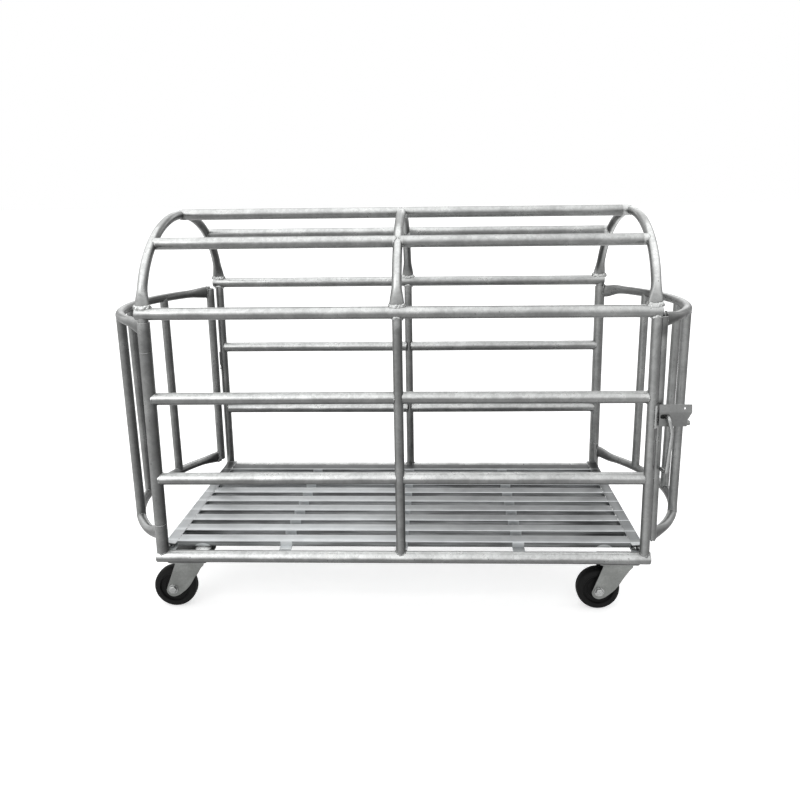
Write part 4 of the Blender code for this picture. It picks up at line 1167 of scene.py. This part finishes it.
def latch_plate_mesh():
    """The folded plate with its slot and small hole."""
    low, top, bend = LATCH_Z - BOLT_RADIUS, LATCH_Z + PLATE_TOP_RISE, LATCH_Z + PLATE_BEND_RISE
    outline = [(PLATE_LEFT, low), (PLATE_FOOT_WIDTH, low), (PLATE_FOOT_WIDTH, LATCH_Z + PLATE_STEP_RISE),
               (PLATE_WIDTH, bend), (PLATE_WIDTH, top), (PLATE_LEFT, top)]
    slot_half = HANDLE_RADIUS + 0.0008
    slot_z = LATCH_Z + HANDLE_RISE
    slot = (arc(HANDLE_X, slot_z, slot_half, -90, 90, 10)
            + arc(HANDLE_X - BOLT_TRAVEL, slot_z, slot_half, 90, 270, 10))
    hole = arc(PLATE_FOOT_WIDTH - BOLT_RADIUS, (bend + top) / 2, 0.003, 0, 342, 19)
    mesh = flat_plate("plate", outline, [slot, hole], PLATE_THICKNESS)
    mesh.transform(Matrix.Translation((0, (PLATE_FRONT + PLATE_BACK) / 2, 0)))
    bm = bmesh.new()
    bm.from_mesh(mesh)
    everything = bm.verts[:] + bm.edges[:] + bm.faces[:]
    bmesh.ops.bisect_plane(bm, geom=everything, plane_co=(0, 0, bend), plane_no=(0, 0, 1))
    for vert in bm.verts:
        vert.co.y += PLATE_LEAN * max((vert.co.z - bend) / (top - bend), 0.0)
    return from_bmesh(bm, "plate")


def on_bolt(along, z_shift=0.0):
    """A place on the bolt's axis, or above it, by its distance from the latch post."""
    return Vector((along, BOLT_Y, LATCH_Z + z_shift))


tube_face = END_TUBE.y - TUBE_RADIUS
guide_rows = line_stations(on_bolt(GUIDE_START), on_bolt(GUIDE_START + GUIDE_LENGTH), GUIDE_RADIUS, 6)
guide = sweep("guide", guide_rows, wall=0.0022)
spacer_top = LATCH_Z + (PLATE_BEND_RISE + PLATE_TOP_RISE) / 2
spacer = block_mesh((END_TUBE.x - 0.0065, tube_face - JOINT_GAP, spacer_top - 0.015),
                    (END_TUBE.x + 0.0065, PLATE_BACK, spacer_top))
shield = block_mesh((END_TUBE.x - 0.003, tube_face - 0.0030, LATCH_Z + 0.0065),
                    (END_TUBE.x + 0.032, tube_face - JOINT_GAP, LATCH_Z + 0.0400))
mesh = merged("right_latch_plate_folded", [latch_plate_mesh(), guide, spacer, shield])
mesh.transform(DOORS["right"])
plate = new_piece("right_latch_plate_folded", mesh, LATCH_ZINC, crisp=8)
dress(plate, "right_door", "galvanised_latch", "right_latch_plate")
for z in (LATCH_Z + PLATE_BEND_RISE + 0.012, LATCH_Z + 0.012):
    ends = [Vector((END_TUBE.x + reach, tube_face + 0.003, z)) for reach in (-0.009, 0.009)]
    door_weld("right", ends, closed=False)

hook_z = LATCH_Z - HANDLE_DROP
path = [on_bolt(HANDLE_X), on_bolt(HANDLE_X, HANDLE_RISE),
        Vector((HANDLE_X, HANDLE_FRONT, LATCH_Z + HANDLE_RISE)),
        Vector((HANDLE_X + HANDLE_BOW, HANDLE_FRONT, LATCH_Z - 0.020)),
        Vector((HANDLE_X, HANDLE_FRONT, hook_z)),
        Vector((HANDLE_X - HANDLE_RADIUS, HANDLE_FRONT + HANDLE_HOOK, hook_z))]
rod = bent_rod("rod", rounded_path(path, 0.012), HANDLE_RADIUS)
rod.transform(DOORS["right"])
dress(new_piece("right_latch_handle", rod, ROD_ZINC), "right_latch", "galvanised_latch", "right_latch_bolt")
bolt = sweep("bolt", line_stations(on_bolt(PLATE_LEFT), on_bolt(BOLT_BACK), BOLT_RADIUS, 12), 24, lip=0.0012)
bolt.transform(DOORS["right"])
dress(new_piece("right_latch_round_bolt", bolt, LATCH_ZINC), "right_latch", "galvanised_latch")

# %% Keeper saddles on the latch posts
# The two keepers are one part, but each gets a paler zinc than the latch plate: painted light that lifts the
# shade in the gap beside its post, the front-right one paler still.
for end, turn, material in (("right", 0.0, WELD_ZINC), ("left", math.pi, ROD_ZINC)):
    outline = arc(0, 0, TUBE_RADIUS - 0.001, -75, 40, 12) + arc(0, 0, KEEPER_RADIUS, 40, -75, 12)
    mesh = extruded(f"{end}_latch_keeper", [Vector((x, y, 0.0)) for x, y in outline],
                    Z_AXIS * (LATCH_Z - BOLT_RADIUS - 0.003), Z_AXIS * (LATCH_Z + PLATE_TOP_RISE))
    mesh.transform(Matrix.Rotation(turn, 4, "Z") @ Matrix.Translation((HALF_LENGTH, -HALF_WIDTH, 0.0)))
    mesh = boolean(mesh, bolt_hole(end), "DIFFERENCE")
    dress(new_piece(f"{end}_latch_keeper", mesh, material), "frame", "galvanised_latch")

# %% [markdown]
# ## Lay the welds
#
# Every line of contact is known now, so each group's beads are grown in one go. Those at the
# posts' feet and on the doors lie out of the light, so they get a darker zinc, a painted shade.
# No bead grows past the solids' box: the tree holds each point of a bead inside it.

# %% Weld beads for the frame and both doors
for group, seed, material, body in (
        ("frame", 3.0, WELD_ZINC, "frame"), ("frame_plain", 4.0, TUBE_ZINC, "frame"),
        ("frame_shaded", 5.0, SHADED_WELD, "frame"), ("right_door", 11.0, SHADED_WELD, "right_door"),
        ("left_door", 12.0, SHADED_WELD, "left_door")):
    dress(lay_welds(group, seed, material), body, "galvanised_tube")

# %% [markdown]
# ## Casters
#
# A plate under the rail carries a ball race and a pressed fork that trails behind it, with a
# solid rubber wheel between its legs. The fork is one sheet folded to a U and cut to shape
# from the side, so it is made the same way: a folded section, cut by the side view.

# %% Caster sizes
WHEEL_RADIUS = 0.0625
WHEEL_HALF = 0.018
CASTER_TRAIL = 0.052
PLATE_TOP = BOTTOM_Z - RAIL_RADIUS - JOINT_GAP
PLATE_UNDER = PLATE_TOP - 0.004
CROWN_TOP = PLATE_UNDER - 0.007 - JOINT_GAP
FORK_SHEET = 0.0035
FORK_INNER = 0.023
FORK_OUTER = FORK_INNER + FORK_SHEET
FORK_FOLD = 0.006
CROWN_HALF = 0.042
FORK_END_RADIUS = 0.0207
FORK_END_DROP = 0.0035
FORK_EDGE = [(0.042, 0.1385), (0.033, 0.1290), (0.0245, 0.1165), (0.0160, 0.1035), (0.0085, 0.0905),
             (0.0015, 0.0790), (-0.0060, 0.0690), (-0.0150, 0.0598), (-0.0250, 0.0515), (-0.0340, 0.0443)]
AXLE = Vector((-CASTER_TRAIL, 0.0, WHEEL_RADIUS))
plate_low, plate_high = (Vector(corner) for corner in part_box("caster_front_left_plate"))
PLATE_HALF_X, PLATE_HALF_Y, _ = (plate_high - plate_low) / 2
CASTER_TOP = plate_high.z


# %% Caster meshes
def fork_mesh():
    """A folded U, cut to the fork's side view."""
    low = AXLE.z - FORK_END_DROP - FORK_END_RADIUS - 0.01
    outer, inner_fold = FORK_OUTER - FORK_FOLD, FORK_FOLD - FORK_SHEET
    inner, inner_top = FORK_INNER - inner_fold, CROWN_TOP - FORK_SHEET - inner_fold
    section = [(-FORK_OUTER, low), *arc(-outer, CROWN_TOP - FORK_FOLD, FORK_FOLD, 180, 90, 5),
               *arc(outer, CROWN_TOP - FORK_FOLD, FORK_FOLD, 90, 0, 5), (FORK_OUTER, low), (FORK_INNER, low),
               *arc(inner, inner_top, inner_fold, 0, 90, 3), *arc(-inner, inner_top, inner_fold, 90, 180, 3),
               (-FORK_INNER, low)]
    folded = extruded("fork", [Vector((0, y, z)) for y, z in section], X_AXIS * -0.12, X_AXIS * 0.06)
    view = [(CROWN_HALF, CROWN_TOP + 0.004), *FORK_EDGE,
            *arc(AXLE.x, AXLE.z - FORK_END_DROP, FORK_END_RADIUS, -62, -184, 9),
            (-CROWN_HALF, CROWN_TOP - 0.006), (-CROWN_HALF, CROWN_TOP + 0.004)]
    outline = extruded("view", [Vector((x, 0, z)) for x, z in view], Y_AXIS * -0.04, Y_AXIS * 0.04)
    return boolean(folded, outline, "INTERSECT")


def wheel_mesh():
    """A solid rubber tyre with rounded shoulders, stepped sides and a hub boss."""
    tread = [(0.0, 0.30), (0.0006, 0.55), (0.0024, 0.78), (0.0055, 0.94), (0.0090, 1.0),
             (0.0180, 1.0), (0.0190, 0.94), (0.0205, 0.66)]
    web = [(0.0330, 0.62), (0.0320, 0.72), (0.0285, 0.72), (0.0275, 0.62), (0.0190, 0.64), (0.0175, 0.80)]
    side = [(WHEEL_RADIUS - drop, part * WHEEL_HALF) for drop, part in tread]
    side += [(radius, part * WHEEL_HALF) for radius, part in web]
    side += [(0.0160, FORK_INNER - 0.001), (0.0065, FORK_INNER - 0.001)]
    return lathed("wheel", side + [(radius, -along) for radius, along in reversed(side)], Y_AXIS, 72)


def hexagon(radius, start_y, end_y, ease=0.0008):
    """A hexagon head along Y, with eased rims."""
    depth = end_y - start_y
    bm = bmesh.new()
    rings = []
    for y, shrink in ((start_y, ease), (start_y + depth * 0.12, 0.0),
                      (end_y - depth * 0.2, 0.0), (end_y, ease * 1.6)):
        rings.append([bm.verts.new((x, y, z)) for x, z in arc(0, 0, radius - shrink, 8, 308, 5)])
    skin_rings(bm, rings, capped=True)
    return from_bmesh(bm, "hexagon")


def axle_mesh():
    """The wheel's axle bolt: shank, washers, head and nut."""
    back, front, tip = -FORK_OUTER - 0.004, FORK_OUTER + 0.010, FORK_OUTER + 0.0112
    shank = [(0.0001, back), (0.0057, back), (0.0057, front), (0.0049, tip), (0.0001, tip)]
    pieces = [lathed("shank", shank, Y_AXIS, 24)]
    for sign in (-1, 1):
        rim = sign * (FORK_OUTER + 0.0003)
        face = sign * (FORK_OUTER + 0.0022)
        washer = [(0.0058, rim), (0.0140, rim), (0.0145, (rim + face) / 2), (0.0140, face), (0.0058, face)]
        pieces.append(lathed("washer", washer, Y_AXIS, 32))
        pieces.append(hexagon(0.0115, face, sign * (FORK_OUTER + 0.0088)))
    return merged("axle", pieces)


def caster_plate_mesh(inward, extra):
    """Top plate with rounded corners and some extra length inward, its ball race and its kingpin."""
    corner = 0.010
    outline = []
    for sign_x, sign_y, start in ((1, 1, 0), (-1, 1, 90), (-1, -1, 180), (1, -1, 270)):
        reach = PLATE_HALF_Y + (extra if sign_y == inward else 0.0)
        x, y = sign_x * (PLATE_HALF_X - corner), sign_y * (reach - corner)
        outline += arc(x, y, corner, start, start + 90, 5)
    mesh = flat_plate("plate", outline, [], 0.004, 0.0007)
    mesh.transform(Matrix.Rotation(math.radians(-90), 4, "X"))
    mesh.transform(Matrix.Translation((0, 0, (PLATE_TOP + PLATE_UNDER) / 2)))
    race = [(0.0071, -0.0068), (0.0260, -0.0068), (0.0285, -0.0050), (0.0300, 0.0006), (0.0071, 0.0006)]
    race = [(radius, PLATE_UNDER + rise) for radius, rise in race]
    base = CROWN_TOP - FORK_SHEET - JOINT_GAP
    flange = PLATE_TOP + 0.0010
    pin = [(0.0001, base - 0.005), (0.0100, base - 0.005), (0.0110, base - 0.0035), (0.0110, base),
           (0.0070, base), (0.0070, flange), (0.0150, flange),
           (0.0140, CASTER_TOP - 0.0006), (0.0090, CASTER_TOP), (0.0001, CASTER_TOP)]
    return merged("caster_plate", [mesh, lathed("race", race, Z_AXIS, 48), lathed("pin", pin, Z_AXIS, 32)])


# %% Four casters
for end in ("left", "right"):
    for side in ("front", "rear"):
        name = f"caster_{side}_{end}"
        centre = middle_of(name + "_plate")
        place = Matrix.Translation((centre.x, centre.y, 0.0))
        extra = 0.012 if end == "left" else -0.016
        for part, mesh, material, slot, body in (
            ("plate", caster_plate_mesh(-SIGNS[side], extra), SHADED_PLATE, "zinc_plated_caster", "frame"),
            ("fork", fork_mesh(), CASTER_ZINC, "zinc_plated_caster", name + "_swivel"),
            ("wheel", wheel_mesh(), TYRE_RUBBER, "black_rubber", name + "_roller"),
            ("axle", axle_mesh(), BOLT_ZINC, "zinc_plated_caster", name + "_roller"),
        ):
            if part in ("wheel", "axle"):
                mesh.transform(Matrix.Translation(AXLE))
            mesh.transform(place)
            piece = new_piece(f"{name}_{part}_dressed", mesh, material)
            if part == "fork":
                bevel = piece.modifiers.new("eased_edges", "BEVEL")
                bevel.width = 0.0006
                bevel.segments = 2
                bevel.limit_method = "ANGLE"
            dress(piece, body, slot, f"{name}_{part}")

# %% Stud caps that show through the deck at the left end
CAP_Y = 0.2910
CAP_PROFILE = [(0.0001, PLATE_TOP), (0.0080, PLATE_TOP), (0.0080, 0.1795), (0.0222, 0.1800),
               (0.0230, 0.1815), (0.0205, 0.1835), (0.0120, 0.1860), (0.0001, 0.1870)]
for side in ("front", "rear"):
    cap = lathed("cap", CAP_PROFILE, Z_AXIS, 40)
    cap.transform(Matrix.Translation((-CAP_X, SIGNS[side] * CAP_Y, 0.0)))
    dress(new_piece(f"caster_{side}_left_stud_cap", cap, CAP_ZINC), "frame", "zinc_plated_caster")

# %% [markdown]
# ## Floor, light and camera
#
# The cage stands on a pale floor that runs to a white surround. One broad lamp above lights it but
# is hidden from reflections, so the pipes' bright tops are the painted lit tone of their zinc, and
# two weaker lamps keep the far side readable. The surround is white to the lens and in
# reflections, and a little weaker as a light, so that nothing burns out.


# %% Pale floor
def seen_ray(graph):
    """1 for rays from the lens and for mirror and glass rays, else 0."""
    path = graph.add("ShaderNodeLightPath")
    return graph.most(graph.most(path["Is Camera Ray"], path["Is Glossy Ray"]), path["Is Transmission Ray"])


FLOOR_REACH = 60.0
floor_corners = [(x * FLOOR_REACH, y * FLOOR_REACH, 0) for x, y in ((-1, -1), (1, -1), (1, 1), (-1, 1))]
floor_mesh = bpy.data.meshes.new("studio_floor")
floor_mesh.from_pydata(floor_corners, [], [(0, 1, 2, 3)])
floor = in_scene("studio_floor", floor_mesh)
floor.location.z = -0.0005
pale = bpy.data.materials.new("pale_floor")
pale.use_nodes = True
floor_inputs = pale.node_tree.nodes["Principled BSDF"].inputs
floor_inputs["Base Color"].default_value = (0.86, 0.86, 0.86, 1.0)
floor_inputs["Roughness"].default_value = 0.9
floor_inputs["Emission Color"].default_value = (1.0, 1.0, 1.0, 1.0)
floor_graph = Graph(pale.node_tree)
lens_ray = floor_graph.add("ShaderNodeLightPath")["Is Camera Ray"]
soft_glow, lens_glow = floor_graph.times(seen_ray(floor_graph), 0.22), floor_graph.times(lens_ray, 0.34)
glow = floor_graph.maths("ADD", soft_glow, lens_glow)
pale.node_tree.links.new(glow, floor_inputs["Emission Strength"])
floor_mesh.materials.append(pale)

# %% World and lamps
world = bpy.data.worlds.new("white_studio")
world.use_nodes = True
bpy.context.scene.world = world
sky = world.node_tree.nodes["Background"]
sky.inputs["Color"].default_value = (1.0, 1.0, 1.0, 1.0)
world_graph = Graph(world.node_tree)
strength = world_graph.ramp(seen_ray(world_graph), 0.0, 1.0, 0.86, 1.0)
world.node_tree.links.new(strength, sky.inputs["Strength"])


def lamp(name, place, size, power):
    """A soft rectangular lamp that looks at the middle of the cage."""
    data = bpy.data.lights.new(name, "AREA")
    data.shape = "RECTANGLE"
    data.size, data.size_y = size
    data.energy = power
    item = in_scene(name, data)
    item.location = place
    item.rotation_mode = "QUATERNION"
    item.rotation_quaternion = (Vector((0.0, 0.0, 0.6)) - Vector(place)).to_track_quat("-Z", "Y")


lamp("overhead_lamp", (0.0, 0.3, 3.6), (3.4, 2.4), 22.0)
lamp("front_lamp", (-2.4, -3.0, 2.4), (2.0, 1.6), 16.0)
lamp("rear_lamp", (1.4, 3.2, 2.4), (2.4, 1.4), 8.0)
bpy.data.objects["overhead_lamp"].visible_glossy = False

# %% Camera at the photograph's angle
CAMERA_PLACE = Vector((0.1166, -2.1441, 1.0181 + BOTTOM_Z + 0.0083))
YAW, PITCH, ROLL = -0.0318, 0.1865, 0.0118
FOCAL_PIXELS = 688.54
CENTRE_PIXEL = (418.95, 322.68)
PICTURE = 800.0

forward = Vector((math.sin(YAW) * math.cos(PITCH), math.cos(YAW) * math.cos(PITCH), -math.sin(PITCH)))
right = Vector((math.cos(YAW), -math.sin(YAW), 0.0))
down = forward.cross(right)
rolled_right = right * math.cos(ROLL) + down * math.sin(ROLL)
rolled_down = down * math.cos(ROLL) - right * math.sin(ROLL)
camera_data = bpy.data.cameras.new("camera")
camera = in_scene("camera", camera_data)
turn = Matrix((rolled_right, -rolled_down, -forward)).transposed()
camera.matrix_world = Matrix.Translation(CAMERA_PLACE) @ turn.to_4x4()
camera_data.sensor_width = 36.0
camera_data.lens = FOCAL_PIXELS / PICTURE * camera_data.sensor_width
camera_data.shift_x = (PICTURE / 2 - CENTRE_PIXEL[0]) / PICTURE
camera_data.shift_y = (CENTRE_PIXEL[1] - PICTURE / 2) / PICTURE
bpy.context.scene.camera = camera
bpy.context.scene.view_settings.view_transform = "Standard"
print("camera at:", [round(value, 3) for value in CAMERA_PLACE], "lens:", round(camera_data.lens, 2))

# %% Print the solids' box
print("solids' box:", [round(value, 4) for value in (*cad_low, *cad_high)])
